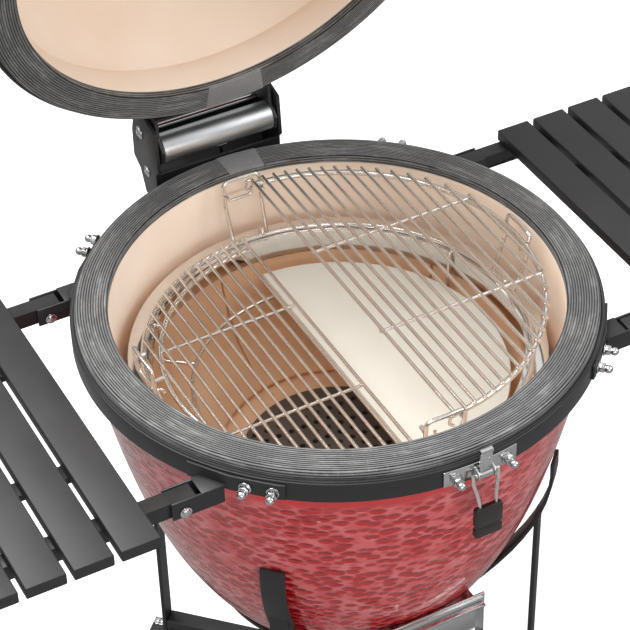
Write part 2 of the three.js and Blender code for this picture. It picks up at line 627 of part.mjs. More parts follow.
function springTube() {
  const half = LID_ARM_OUT - HINGE_PLATE - GAP;
  const centre = [PIVOT_Y + SPRING_OFFSET[0], PIVOT_Z + SPRING_OFFSET[1]];
  const at = (x) => [x, ...centre];
  return cut(rod(at(-half), at(half), 2 * SPRING_RADIUS, 24), rod(at(-half - 1), at(half + 1), 12, 8));
}

function hingePin() {
  const shank = rod([-HINGE_HALF - 1, PIVOT_Y, PIVOT_Z], [HINGE_HALF + 1, PIVOT_Y, PIVOT_Z],
    2 * PIN_RADIUS, 12);
  const heads = [-1, 1].map((s) => rod([s * (HINGE_HALF + GAP), PIVOT_Y, PIVOT_Z],
    [s * (HINGE_HALF + 4), PIVOT_Y, PIVOT_Z], 18, 12));
  return join(shank, heads);
}

add('hinge_base_bracket', hingeBase(), 'black');
add('hinge_lid_bracket', hingeLid(), 'black', lidShut);
add('spring_tube', springTube(), 'steel', lidShut);
add('hinge_pin', hingePin(), 'steel');

// ---- lid ----------------------------------------------------------------------------------
const THERMO_HIGH = 165;
const THERMO_RADIUS = 32;
const NEEDLE_REST = 120; // degrees round the dial from straight up
const domeSkin = (z) => domeRadius(z, RIM_RADIUS - 3, LID_HEIGHT);
const thermoTilt = Math.atan2(domeSkin(THERMO_HIGH - 5) - domeSkin(THERMO_HIGH + 5), 10);
// Local frame of the thermometer: z out of the dome, y up its face.
const thermoFrame = new THREE.Matrix4()
  .makeTranslation(0, -domeSkin(THERMO_HIGH), THERMO_HIGH)
  .multiply(new THREE.Matrix4().makeRotationX(Math.PI / 2 - thermoTilt));
const placed = (body, frame) => {
  const m = frame.elements;
  return body.transform([...m]);
};

function ceramicLid() {
  const rim = GASKET_THICK + 2 * GAP;
  const [inner, ceiling] = [RIM_RADIUS - 3 - WALL, LID_HEIGHT - WALL];
  const dome = (radius, height, from, steps) => {
    const top = height * (1 - (VENT_HOLE / radius) ** LID_POWER) ** (1 / LID_POWER);
    return Array.from({ length: steps + 1 }, (_, i) => {
      const z = height * Math.sin(Math.asin(from / height)
        + ((Math.asin(top / height) - Math.asin(from / height)) * i) / steps);
      return [i === steps ? VENT_HOLE : domeRadius(z, radius, height), z];
    });
  };
  const profile = [
    [OPENING, rim], [RIM_RADIUS - 3, rim], [COLLAR, rim + BAND_PROUD], [COLLAR, BAND_LOW],
    ...dome(RIM_RADIUS - 3, LID_HEIGHT, BAND_LOW + 6, 7),
    ...dome(inner, ceiling, BAND_LOW + 20, 5).reverse(),
    [OPENING, BAND_LOW]];
  const stem = placed(rod([0, 0, -80], [0, 0, 20], 10 + 2 * GAP, 10), thermoFrame);
  return cut(turned(profile), stem);
}

function lidHandle() {
  const [postX, barY, high] = [140, -BAND_RADIUS - 58, BAND_TOP + 16];
  const inside = -Math.sqrt(BAND_RADIUS ** 2 - (postX + 12) ** 2) + 5;
  const bar = rod([-170, barY, high], [170, barY, high], 30, 14);
  const posts = [-1, 1].map((s) => box(s * (postX - 12), s * (postX + 12), inside, barY, high - 8, high + 8));
  const outline = [[0, high - 20], [BAND_RADIUS + GAP, high - 20], [BAND_RADIUS + GAP, high + 20], [0, high + 20]];
  return cut(join(bar, posts), turned(outline));
}

const thermoBody = () => placed(join(
  turned([[0, 1.5], [THERMO_RADIUS, 1.5], [THERMO_RADIUS, 14], [THERMO_RADIUS - 4, 14],
    [THERMO_RADIUS - 4, 9], [0, 9]], 32),
  rod([0, 0, -70], [0, 0, 3], 10, 10)), thermoFrame);

const thermoNeedle = () => placed(join(
  turned([[0, 9 + GAP], [4, 9 + GAP], [4, 11], [0, 11]], 10),
  box(-1, 1, -8, 22, 9 + GAP, 10.5)).rotate([0, 0, NEEDLE_REST]), thermoFrame);

const VENT_SEAT = LID_HEIGHT + GAP;
const VENT_FLANGE = VENT_HOLE + 24;
const VENT_THROAT = VENT_HOLE - 12;

function ventBase() {
  const neck = turned([
    [VENT_THROAT, VENT_SEAT - WALL], [VENT_HOLE - 2, VENT_SEAT - WALL], [VENT_HOLE - 2, VENT_SEAT],
    [VENT_FLANGE, VENT_SEAT], [VENT_FLANGE, VENT_SEAT + 8], [VENT_THROAT, VENT_SEAT + 8]], 24);
  const bridge = box(-VENT_THROAT - 2, VENT_THROAT + 2, -6, 6, VENT_SEAT, VENT_SEAT + 7);
  const hub = rod([0, 0, VENT_SEAT + 2], [0, 0, VENT_SEAT + 20], 10, 10);
  const lugs = [-1, 1].map((s) => box(s * 14, s * 20, VENT_FLANGE - 14, VENT_FLANGE, VENT_SEAT + 6, VENT_SEAT + 36));
  const pin = rod([-20, VENT_FLANGE - 6, VENT_SEAT + 30], [20, VENT_FLANGE - 6, VENT_SEAT + 30], 5, 8);
  return join(neck, bridge, hub, lugs, pin);
}

function ventDisc() {
  const low = VENT_SEAT + 8 + GAP;
  const rim = VENT_FLANGE - 18;
  const disc = turned([[5 + GAP, low], [rim, low], [rim, low + 5], [5 + GAP, low + 5]], 24);
  const slots = [0, 90, 180, 270].map((a) =>
    rod(polar(28, a, low - 1), polar(28, a, low + 6), 26, 8));
  const tab = box(rim - 4, rim + 14, -6, 6, low, low + 5);
  return join(cut(disc, slots), tab);
}

function ventCap() {
  const low = VENT_SEAT + 22;
  const rim = VENT_FLANGE - 18;
  const shell = turned([[0, low + 16], [rim - 12, low + 9], [rim - 3, low], [rim, low],
    [rim, low + 10], [rim - 10, low + 18], [0, low + 24]], 24);
  const knob = rod([0, 0, low + 20], [0, 0, low + 34], 22, 12);
  const tongue = box(-13, 13, rim - 6, VENT_FLANGE - 1, low + 2, low + 14);
  const hole = rod([-20, VENT_FLANGE - 6, VENT_SEAT + 30], [20, VENT_FLANGE - 6, VENT_SEAT + 30],
    5 + 4 * GAP, 12);
  return cut(join(shell, knob, tongue), hole);
}

add('ceramic_lid', ceramicLid(), 'glaze', lidShut);
add('lid_gasket', gasket(GAP), 'felt', lidShut);
add('lid_band', band(BAND_TOP), 'black', lidShut);
add('lid_handle', lidHandle(), 'black', lidShut);
add('thermometer_body', thermoBody(), 'steel', lidShut);
add('thermometer_needle', thermoNeedle(), 'black', lidShut);
add('vent_base', ventBase(), 'black', lidShut);
add('vent_disc', ventDisc(), 'black', lidShut);
add('vent_cap', ventCap(), 'black', lidShut);

// ---- cart ----------------------------------------------------------------------------------
const FOOT_Z = FLOOR_Z + CASTER_HIGH;
const CART_RING_OUT = baseRadius(-BASE_DEPTH) + 4;

// One leg, laid out along +X: a curved arm that cradles the egg, a straight post up to where
// the arm curves in, and a foot plate.
function cartLeg() {
  const h = ARM_THICK / 2;
  const top = new THREE.Vector2(baseRadius(ARM_TOP) + 1 + h, ARM_TOP);
  const foot = new THREE.Vector2(CART_RING_OUT + GAP + h, -BASE_DEPTH - 6);
  const bend = new THREE.Vector2(top.x + 10, (ARM_TOP - BASE_DEPTH) / 2 + 22);
  const curve = new THREE.QuadraticBezierCurve(top, bend, foot);
  const postTop = curve.getPoints(200).findLast((p) => p.x >= LEG_RADIUS - LEG_THICK / 2).y;
  const [outer, inner] = [[], []];
  for (let i = 0; i <= 10; i++) {
    const [p, t] = [curve.getPoint(i / 10), curve.getTangent(i / 10)];
    outer.push([p.x - t.y * h, p.y + t.x * h]);
    inner.push([p.x + t.y * h, p.y - t.x * h]);
  }
  const armShape = sidePlate([...outer, ...inner.reverse()], -ARM_WIDE / 2, ARM_WIDE / 2);
  const alongX = new THREE.Matrix4().makeRotationZ(-Math.PI / 2);
  const arm = armShape.transform([...alongX.elements]);
  const post = box(LEG_RADIUS - LEG_THICK, LEG_RADIUS, -LEG_WIDE / 2, LEG_WIDE / 2, FOOT_Z, postTop);
  const plate = box(LEG_RADIUS - 36, LEG_RADIUS + 30, -30, 30, FOOT_Z, FOOT_Z + 5);
  return join(arm, post, plate);
}

function cartRing() {
  const low = -BASE_DEPTH - GAP - 6;
  return turned([[CART_RING_OUT - 60, low], [CART_RING_OUT, low],
    [CART_RING_OUT, low + 6], [CART_RING_OUT - 60, low + 6]], 40);
}

function cartCross() {
  const [reach, low] = [LEG_RADIUS - LEG_THICK - GAP, FOOT_Z + 30];
  const bar = box(-reach, reach, -LEG_WIDE / 2, LEG_WIDE / 2, low, low + 20);
  return join(...[45, 135].map((a) => bar.rotate([0, 0, a])));
}

function casterFork() {
  const axleZ = FLOOR_Z + WHEEL_RADIUS;
  const half = WHEEL_WIDE / 2 + 2;
  const plateLow = FOOT_Z - GAP - 5;
  const top = rod([0, 0, plateLow], [0, 0, FOOT_Z - GAP], 50, 10);
  const bridge = box(-half - 3, half + 3, -20, 14, plateLow - 3, plateLow + 1);
  const cheek = [[16, plateLow], [-20, plateLow], [-CASTER_TRAIL - 9, axleZ - 6],
    [-CASTER_TRAIL + 7, axleZ - 8]];
  const cheeks = [-half - 3, half].map((x) => sidePlate(cheek, x, x + 3));
  const axle = rod([-half - 4, -CASTER_TRAIL, axleZ], [half + 4, -CASTER_TRAIL, axleZ], 8);
  return join(top, bridge, cheeks, axle);
}

function casterWheel() {
  const half = WHEEL_WIDE / 2;
  const [bore, hub] = [4 + GAP, 12];
  const wheel = turned([[bore, -half - 1], [hub, -half - 1], [WHEEL_RADIUS - 4, -half + 2],
    [WHEEL_RADIUS, -half + 4], [WHEEL_RADIUS, half - 4], [WHEEL_RADIUS - 4, half - 2],
    [hub, half + 1], [bore, half + 1]], 20);
  return wheel.rotate([0, 90, 0]).translate([0, -CASTER_TRAIL, FLOOR_Z + WHEEL_RADIUS]);
}

add('cart_ring', cartRing(), 'black');
add('cart_cross', cartCross(), 'black');
const corners = [['front_right', -45], ['rear_right', 45], ['rear_left', 135], ['front_left', -135]];
for (const [corner, degrees] of corners) {
  add(`cart_leg_${corner}`, cartLeg().rotate([0, 0, degrees]), 'black');
  const caster = new THREE.Group();
  caster.position.set(...polar(LEG_RADIUS - LEG_THICK, degrees, 0));
  egg.add(caster);
  add(`caster_fork_${corner}`, casterFork(), 'black', caster);
  add(`caster_wheel_${corner}`, casterWheel(), 'rubber', caster);
}

// ---- open the lid and set the origin on the floor --------------------------------------------
lid.position.set(0, PIVOT_Y, PIVOT_Z);
lid.rotation.x = -LID_OPEN * RAD;
lidShut.position.set(0, -PIVOT_Y, -PIVOT_Z);
grill.updateMatrixWorld(true);
const whole = new THREE.Box3().setFromObject(grill, true);
const middle = whole.getCenter(new THREE.Vector3());
grill.position.set(-middle.x, -middle.y, -whole.min.z);
grill.updateMatrixWorld(true);

export default grill;
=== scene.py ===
"""An open kamado grill on its cart: glazed egg, gaskets, wire grates, sprung hinge, slatted shelves."""

import json
from math import acos, asin, atan2, cos, degrees, hypot, pi, radians, sin, sqrt, tan

import bmesh
import bpy
from mathutils import Matrix, Vector


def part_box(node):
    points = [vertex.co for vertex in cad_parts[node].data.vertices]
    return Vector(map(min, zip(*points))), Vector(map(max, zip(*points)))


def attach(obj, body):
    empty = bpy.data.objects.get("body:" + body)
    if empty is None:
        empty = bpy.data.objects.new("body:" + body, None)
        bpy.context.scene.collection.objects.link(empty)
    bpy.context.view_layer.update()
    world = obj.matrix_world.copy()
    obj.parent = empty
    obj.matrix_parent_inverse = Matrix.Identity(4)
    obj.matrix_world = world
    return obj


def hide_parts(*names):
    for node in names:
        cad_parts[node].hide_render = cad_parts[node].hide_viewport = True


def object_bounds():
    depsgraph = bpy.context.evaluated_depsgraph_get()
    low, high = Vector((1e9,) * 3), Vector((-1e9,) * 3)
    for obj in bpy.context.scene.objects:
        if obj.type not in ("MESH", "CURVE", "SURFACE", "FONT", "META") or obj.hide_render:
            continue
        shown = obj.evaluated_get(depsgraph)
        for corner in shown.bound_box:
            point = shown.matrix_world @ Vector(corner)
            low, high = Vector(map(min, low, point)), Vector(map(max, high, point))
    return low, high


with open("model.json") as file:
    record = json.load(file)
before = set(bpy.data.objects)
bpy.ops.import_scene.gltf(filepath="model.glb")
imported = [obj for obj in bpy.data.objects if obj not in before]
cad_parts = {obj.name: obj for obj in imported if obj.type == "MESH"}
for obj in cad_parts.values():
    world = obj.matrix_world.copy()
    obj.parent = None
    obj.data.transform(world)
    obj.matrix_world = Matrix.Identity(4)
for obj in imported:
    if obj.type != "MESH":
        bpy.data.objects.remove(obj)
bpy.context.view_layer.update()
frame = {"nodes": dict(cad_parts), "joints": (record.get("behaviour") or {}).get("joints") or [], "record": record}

# ---- the frame the pieces are laid out in ----
# Pieces are drawn in millimetres from the middle of the rim, z = 0 on top of the lower gasket,
# with the lid shut. to_row puts them in the row frame, and lid_open tips the lid's pieces back.
gasket_low, gasket_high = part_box("base_gasket")
rim_middle = (gasket_low + gasket_high) / 2
rim_middle.z = gasket_high.z
to_row = Matrix.Translation(rim_middle) @ Matrix.Scale(0.001, 4)
lid_hinge = next(j for j in frame["joints"] if j["name"] == "lid_hinge")
pivot = Vector(lid_hinge["pos_m"])
tip_back = Matrix.Rotation(radians(lid_hinge["range_deg"][0]), 4, "X")
TIPPED = ("lid", "vent_disc", "vent_cap")  # the bodies drawn with the lid shut
lid_open = Matrix.Translation(pivot) @ tip_back @ Matrix.Translation(-pivot)
floor_z = -1000 * rim_middle.z

RIM_RADIUS = 355
OPENING = 310
BAND_RADIUS = 362
COLLAR = 358.7
BASE_DEPTH = 503
WALL = 28
LID_HEIGHT = 312
LID_POWER = 2.3
VENT_HOLE = 60
FIREBOX = 262  # inside of the firebox at its top
CHARCOAL_RADIUS = 141
NUT_PLACES = [(-43.3, -31), (-48.9, -31), (-131.1, -31), (-136.7, -31),
              (46.7, -22), (51.3, -22), (133.3, -22), (128.7, -22)]  # angle and height round the bands


def egg_radius(z):
    t = -z / BASE_DEPTH
    return RIM_RADIUS - 95 * t - 71 * t**4


def dome_radius(z, radius, height):
    return radius * (1 - (z / height) ** LID_POWER) ** (1 / LID_POWER)


def polar(radius, angle, z):
    return (radius * cos(radians(angle)), radius * sin(radians(angle)), z)


def paint(red, green, blue):
    """A colour given in screen values from 0 to 255."""
    return tuple(((v / 255 + 0.055) / 1.055) ** 2.4 for v in (red, green, blue)) + (1,)


# ---- node trees ----
def add_node(tree, kind, feeds=None, **settings):
    made = tree.nodes.new(kind)
    for key, value in settings.items():
        setattr(made, key, value)
    for socket, value in (feeds or {}).items():
        if isinstance(value, bpy.types.NodeSocket):
            tree.links.new(value, made.inputs[socket])
        else:
            made.inputs[socket].default_value = value
    return made


def new_group(name, kind, inputs, outputs, gives="Float"):
    """Inputs are (label, starting value), or (label, kind of socket) for those that start empty."""
    tree = bpy.data.node_groups.new(name, kind)
    for label, value in inputs:
        empty = isinstance(value, str)
        socket = value if empty else {float: "Float", int: "Int", tuple: "Vector"}[type(value)]
        made = tree.interface.new_socket(label, in_out="INPUT", socket_type="NodeSocket" + socket)
        if not empty:
            made.default_value = value
    for label in outputs:
        tree.interface.new_socket(label, in_out="OUTPUT", socket_type="NodeSocket" + gives)
    return tree, tree.nodes.new("NodeGroupInput").outputs, tree.nodes.new("NodeGroupOutput").inputs


def maths(tree, operation, a, b=0.0):
    return add_node(tree, "ShaderNodeMath", {0: a, 1: b}, operation=operation).outputs[0]


def times(tree, a, b):
    return maths(tree, "MULTIPLY", a, b)


def wave(tree, value):
    """A row of even humps from 0 to 1, one for each whole step of the value."""
    return maths(tree, "ABSOLUTE", maths(tree, "SINE", times(tree, value, pi)))


def remap(tree, value, low, high, to_low=0.0, to_high=1.0):
    made = add_node(tree, "ShaderNodeMapRange", {"Value": value, "From Min": low, "From Max": high,
                                                 "To Min": to_low, "To Max": to_high})
    return made.outputs["Result"]


def mix(tree, share, a, b):
    made = add_node(tree, "ShaderNodeMix", data_type="RGBA")
    for socket, value in ((made.inputs[0], share), (made.inputs[6], a), (made.inputs[7], b)):
        if isinstance(value, bpy.types.NodeSocket):
            tree.links.new(value, socket)
        else:
            socket.default_value = value
    return made.outputs[2]


def noise(tree, place, scale, detail=4.0, rough=0.5):
    feeds = {"Vector": place, "Scale": scale, "Detail": detail, "Roughness": rough}
    return add_node(tree, "ShaderNodeTexNoise", feeds).outputs["Fac"]


def object_place(tree):
    return add_node(tree, "ShaderNodeTexCoord").outputs["Object"]


def surface_place(tree):
    return add_node(tree, "ShaderNodeUVMap", uv_map="around").outputs["UV"]


def clay_group():
    """Broad tone changes with fine dark and light grains, as on fired clay and cast iron."""
    tree, given, made = new_group("clay grain", "ShaderNodeTree", [
        ("Grain", 900.0), ("Tone", 6.0)],
        ["Tone", "Grains", "Height"])
    place = object_place(tree)
    broad = noise(tree, place, given["Tone"], 5, 0.55)
    fine = noise(tree, place, given["Grain"], 3, 0.7)
    middling = noise(tree, place, times(tree, given["Grain"], 0.22), 2, 0.6)
    tree.links.new(remap(tree, broad, 0.32, 0.68), made["Tone"])
    tree.links.new(remap(tree, fine, 0.58, 0.72), made["Grains"])
    tree.links.new(maths(tree, "ADD", fine, middling), made["Height"])
    return tree


def coat_group():
    """Powder coat: a very fine orange peel, uneven gloss and a little pale dust on upward faces."""
    tree, given, made = new_group("powder coat", "ShaderNodeTree", [
        ("Peel", 1400.0), ("Dust", 0.15)],
        ["Dust", "Gloss", "Height"])
    place = object_place(tree)
    peel = noise(tree, place, given["Peel"], 2, 0.5)
    patches = noise(tree, place, 9.0, 5, 0.6)
    up = add_node(tree, "ShaderNodeSeparateXYZ",
                  {0: add_node(tree, "ShaderNodeNewGeometry").outputs["Normal"]}).outputs["Z"]
    settled = times(tree, remap(tree, up, 0.3, 1.0), remap(tree, patches, 0.35, 0.7))
    tree.links.new(times(tree, settled, given["Dust"]), made["Dust"])
    tree.links.new(remap(tree, patches, 0.3, 0.7), made["Gloss"])
    tree.links.new(peel, made["Height"])
    return tree


def brushed_group():
    """Fine scratches drawn out along one axis."""
    tree, given, made = new_group("brushed metal", "ShaderNodeTree", [
        ("Stretch", (40.0, 2500.0, 2500.0))],
        ["Scratches", "Smudges"])
    place = object_place(tree)
    drawn = add_node(tree, "ShaderNodeVectorMath", {0: place, 1: given["Stretch"]}, operation="MULTIPLY")
    tree.links.new(noise(tree, drawn.outputs[0], 1.0, 2, 0.6), made["Scratches"])
    tree.links.new(remap(tree, noise(tree, place, 22.0, 4, 0.6), 0.35, 0.7), made["Smudges"])
    return tree


def weave_group():
    """Ribbed mesh tape: cords run the long way, tiny stitches cross them, and some cords get a painted highlight.
    """
    tree, given, made = new_group("mesh tape", "ShaderNodeTree", [
        ("Rib", 0.0041), ("Stitch", 0.0024)],
        ["Thread", "Streaks", "Height"])
    parts = add_node(tree, "ShaderNodeSeparateXYZ", {0: surface_place(tree)}).outputs
    along, across = parts["X"], parts["Y"]
    ribs = maths(tree, "DIVIDE", across, given["Rib"])
    stitches = maths(tree, "DIVIDE", along, given["Stitch"])
    row = maths(tree, "FLOOR", ribs)
    shifted = maths(tree, "ADD", stitches, times(tree, row, 0.5))
    stitch = wave(tree, shifted)
    rib = remap(tree, wave(tree, ribs), 0.35, 0.92)
    cell = add_node(tree, "ShaderNodeCombineXYZ", {"X": times(tree, along, 9.0), "Y": row})
    # painted highlight: broken streaks along single cords, where they seem to catch the light
    painted_highlight = noise(tree, cell.outputs[0], 1.0, 5, 0.65)
    thread = times(tree, remap(tree, stitch, 0.0, 1.0, 0.84, 1.0), rib)
    tree.links.new(thread, made["Thread"])
    tree.links.new(remap(tree, painted_highlight, 0.50, 0.68), made["Streaks"])
    tree.links.new(thread, made["Height"])
    return tree


def dimple_group():
    """Lens-shaped hollows in staggered, uneven rows, as a carved glaze has, with a plain strip at the top."""
    tree, given, made = new_group("carved dimples", "ShaderNodeTree", [
        ("Length", 0.033), ("Depth", 0.0155),
        ("Plain strip", 0.034)],
        ["Hollow", "Height", "Begun"])
    parts = add_node(tree, "ShaderNodeSeparateXYZ", {0: surface_place(tree)}).outputs
    wander = add_node(tree, "ShaderNodeCombineXYZ", {
        "X": times(tree, parts["X"], 22.0), "Y": times(tree, parts["Y"], 46.0)})
    sway = noise(tree, wander.outputs[0], 1.0, 2)
    swayed = maths(tree, "ADD", parts["Y"], times(tree, sway, 0.010))
    down = maths(tree, "DIVIDE", swayed, given["Depth"])
    along = maths(tree, "DIVIDE", parts["X"], given["Length"])
    lattice = add_node(tree, "ShaderNodeCombineXYZ", {
        "X": maths(tree, "ADD", along, down), "Y": maths(tree, "SUBTRACT", along, down)})
    cut = add_node(tree, "ShaderNodeTexVoronoi",
                   {"Vector": lattice.outputs[0], "Scale": 1.0, "Randomness": 0.62})
    begun = remap(tree, parts["Y"], given["Plain strip"], maths(tree, "ADD", given["Plain strip"], 0.014))
    flat_of = remap(tree, cut.outputs["Distance"], 0.60, 0.44)
    bowl = remap(tree, cut.outputs["Distance"], 0.62, 0.14)
    tree.links.new(times(tree, flat_of, begun), made["Hollow"])
    tree.links.new(maths(tree, "SUBTRACT", 1.0, times(tree, bowl, begun)), made["Height"])
    tree.links.new(begun, made["Begun"])
    return tree


shared = {"clay": clay_group(), "coat": coat_group(), "brushed": brushed_group(),
          "weave": weave_group(), "dimples": dimple_group()}


def new_finish(name, **plain):
    """A material with its Principled shader, and the plain values set on the shader's own sockets."""
    made = bpy.data.materials.new(name)
    made.use_nodes = True
    shader = made.node_tree.nodes["Principled BSDF"]
    for label, value in plain.items():
        shader.inputs[label.replace("_", " ")].default_value = value
    return made, made.node_tree, shader.inputs


def use_group(tree, which, **values):
    made = add_node(tree, "ShaderNodeGroup", node_tree=shared[which])
    for label, value in values.items():
        made.inputs[label.replace("_", " ")].default_value = value
    return made.outputs


def bump(tree, sockets, height, strength, distance):
    made = add_node(tree, "ShaderNodeBump", {"Height": height, "Strength": strength, "Distance": distance})
    tree.links.new(made.outputs["Normal"], sockets["Normal"])


def red_glaze():
    made, tree, sockets = new_finish("red glaze", Specular_IOR_Level=0.5,
                                     Coat_Weight=0.7, Coat_Roughness=0.08)
    carved = use_group(tree, "dimples")
    cloud = noise(tree, object_place(tree), 26.0, 4)
    plain = mix(tree, remap(tree, cloud, 0.3, 0.7), paint(206, 14, 22), paint(222, 24, 32))
    # painted reflection: below the plain strip the glaze between the hollows is lifted to pale pink, while the
    # hollows keep the deep red
    painted_ridge_reflection = mix(tree, remap(tree, cloud, 0.35, 0.65), paint(216, 62, 68), paint(232, 116, 120))
    raised = mix(tree, carved["Begun"], plain, painted_ridge_reflection)
    tree.links.new(mix(tree, carved["Hollow"], raised, paint(192, 10, 20)), sockets["Base Color"])
    tree.links.new(remap(tree, cloud, 0.3, 0.7, 0.14, 0.26), sockets["Roughness"])
    bump(tree, sockets, carved["Height"], 1.0, 0.0040)
    return made


def fired_clay(name, light, deep, grains, strength=0.25, grain=900.0):
    made, tree, sockets = new_finish(name, Specular_IOR_Level=0.25)
    clay = use_group(tree, "clay", Grain=grain)
    body = mix(tree, clay["Tone"], light, deep)
    tree.links.new(mix(tree, times(tree, clay["Grains"], 0.35), body, grains), sockets["Base Color"])
    tree.links.new(remap(tree, clay["Tone"], 0.0, 1.0, 0.82, 0.95), sockets["Roughness"])
    bump(tree, sockets, clay["Height"], strength, 0.0006)
    return made


def mesh_tape(name, low, high, highlight_share):
    made, tree, sockets = new_finish(name, Specular_IOR_Level=0.35, Sheen_Weight=0.25, Sheen_Roughness=0.4)
    tape = use_group(tree, "weave")
    worn = remap(tree, noise(tree, object_place(tree), 14.0, 5), 0.3, 0.7, 0.82, 1.15)
    # painted shade: the grooves between the ribs and stitches take the low colour, the ribs the high one
    body = mix(tree, tape["Thread"], low, high)
    # painted highlight: the streaked cords are mixed towards pale grey
    caught = mix(tree, times(tree, tape["Streaks"], highlight_share), body, paint(196, 196, 194))
    shaded = add_node(tree, "ShaderNodeHueSaturation", {"Color": caught, "Value": worn})
    tree.links.new(shaded.outputs["Color"], sockets["Base Color"])
    tree.links.new(remap(tree, tape["Thread"], 0.0, 1.0, 0.85, 0.6), sockets["Roughness"])
    bump(tree, sockets, tape["Height"], 0.7, 0.0007)
    return made


def painted(name, colour, gloss=(0.34, 0.48), metallic=0.0, peel=1400.0, dust=0.12, height=0.12):
    made, tree, sockets = new_finish(name, Metallic=metallic, Specular_IOR_Level=0.45)
    coat = use_group(tree, "coat", Peel=peel, Dust=dust)
    tree.links.new(mix(tree, coat["Dust"], colour, paint(150, 148, 144)), sockets["Base Color"])
    tree.links.new(remap(tree, coat["Gloss"], 0.0, 1.0, *gloss), sockets["Roughness"])
    bump(tree, sockets, coat["Height"], height, 0.0003)
    return made


def steel(name, colour, gloss, stretch, strength=0.05):
    made, tree, sockets = new_finish(name, Metallic=1.0)
    metal = use_group(tree, "brushed", Stretch=stretch)
    dull = tuple(0.78 * v for v in colour[:3]) + (1,)
    tree.links.new(mix(tree, times(tree, metal["Smudges"], 0.5), colour, dull), sockets["Base Color"])
    tree.links.new(remap(tree, metal["Scratches"], 0.3, 0.7, *gloss), sockets["Roughness"])
    bump(tree, sockets, metal["Scratches"], strength, 0.0002)
    return made


def dial_face():
    made, tree, sockets = new_finish("dial face", Roughness=0.35, Coat_Weight=0.6)
    place = add_node(tree, "ShaderNodeSeparateXYZ", {0: surface_place(tree)}).outputs
    turn = times(tree, place["X"], 24.0)
    off_tick = maths(tree, "ABSOLUTE", maths(tree, "SUBTRACT", maths(tree, "FRACT", turn), 0.5))
    tick = maths(tree, "LESS_THAN", off_tick, 0.07)
    ring = times(tree, maths(tree, "GREATER_THAN", place["Y"], 0.70),
                 maths(tree, "LESS_THAN", place["Y"], 0.88))
    speck = noise(tree, object_place(tree), 700.0, 2)
    card = mix(tree, remap(tree, speck, 0.4, 0.6), paint(232, 230, 222), paint(222, 219, 210))
    tree.links.new(mix(tree, times(tree, tick, ring), card, paint(30, 30, 30)), sockets["Base Color"])
    return made


GLAZE = red_glaze()
BISQUE = fired_clay("bisque", paint(252, 236, 220), paint(248, 226, 206), paint(216, 176, 144), 0.14)
FIREBRICK = fired_clay("firebrick", paint(244, 206, 170), paint(234, 188, 148), paint(190, 138, 100),
                       0.5, 600.0)
CREAM = fired_clay("cream clay", paint(238, 234, 224), paint(233, 228, 216), paint(206, 196, 178), 0.2)
IRON = fired_clay("cast iron", paint(104, 96, 90), paint(86, 79, 74), paint(126, 116, 108), 0.8, 500.0)
# The low colours of the gasket tapes are painted shade in their grooves; the last number is the share of painted
# highlight on the cords.
TAPE = mesh_tape("ribbed gasket", paint(16, 16, 17), paint(120, 120, 120), 0.42)
TAPE_EDGE = mesh_tape("gasket edge", paint(26, 26, 27), paint(52, 52, 53), 0.05)
TAPE_PATCH = mesh_tape("gasket overlap", paint(124, 124, 125), paint(150, 150, 151), 0.08)
BLACK = painted("black powder coat", paint(36, 36, 37), dust=0.05)
BLACK_SOFT = painted("black coated aluminium", paint(38, 38, 39), (0.45, 0.55), dust=0.04)
CAST = painted("black cast aluminium", paint(36, 36, 37), (0.45, 0.6), metallic=0.2, peel=900.0, height=0.35)
WIRE = steel("polished wire", (0.82, 0.775, 0.73, 1), (0.14, 0.26), (160.0, 160.0, 160.0))
SHEET = steel("steel sheet", (0.58, 0.58, 0.58, 1), (0.10, 0.22), (40.0, 40.0, 1800.0), 0.03)
RING = steel("polished ring", (0.82, 0.80, 0.78, 1), (0.05, 0.15), (14.0, 14.0, 900.0), 0.02)
BRUSHED = steel("brushed tube", (0.58, 0.59, 0.60, 1), (0.30, 0.46), (30.0, 2600.0, 2600.0), 0.14)
NUT = steel("bright nut", (0.62, 0.62, 0.63, 1), (0.12, 0.22), (300.0, 300.0, 300.0))
RUBBER = painted("black rubber", paint(30, 29, 29), (0.55, 0.75), peel=700.0, dust=0.3, height=0.3)
GRIP = painted("smooth grip", paint(38, 33, 31), (0.14, 0.24), dust=0.0)
HUB = painted("grey wheel hub", paint(96, 97, 99), (0.4, 0.55))
DIAL = dial_face()


# ---- shapes ----
def placed(name, data):
    """A new object in the scene."""
    made = bpy.data.objects.new(name, data)
    bpy.context.scene.collection.objects.link(made)
    return made


def as_shape(mesh):
    """Takes a mesh back to a shape that can be edited."""
    shape = bmesh.new()
    shape.from_mesh(mesh)
    bpy.data.meshes.remove(mesh)
    return shape


def as_mesh(name, shape):
    mesh = bpy.data.meshes.new(name)
    shape.to_mesh(mesh)
    shape.free()
    return mesh


def corners(x0, x1, z0, z1):
    return [(x0, z0), (x1, z0), (x1, z1), (x0, z1)]


def rounded(outline, radius, steps=4):
    """A closed outline with its corners rounded off."""
    made = []
    for i, corner in enumerate(outline):
        here = Vector(corner)
        back, ahead = Vector(outline[i - 1]) - here, Vector(outline[(i + 1) % len(outline)]) - here
        opening = back.angle(ahead)
        if opening > radians(165):
            made.append(tuple(here))
            continue
        reach = min(radius / tan(opening / 2), 0.45 * back.length, 0.45 * ahead.length)
        centre = here + (back.normalized() + ahead.normalized()).normalized() * (reach / cos(opening / 2))
        first, last = here + back.normalized() * reach - centre, here + ahead.normalized() * reach - centre
        for k in range(steps + 1):
            spoke = first.lerp(last, k / steps)
            made.append(tuple(centre + spoke.normalized() * first.length))
    return made


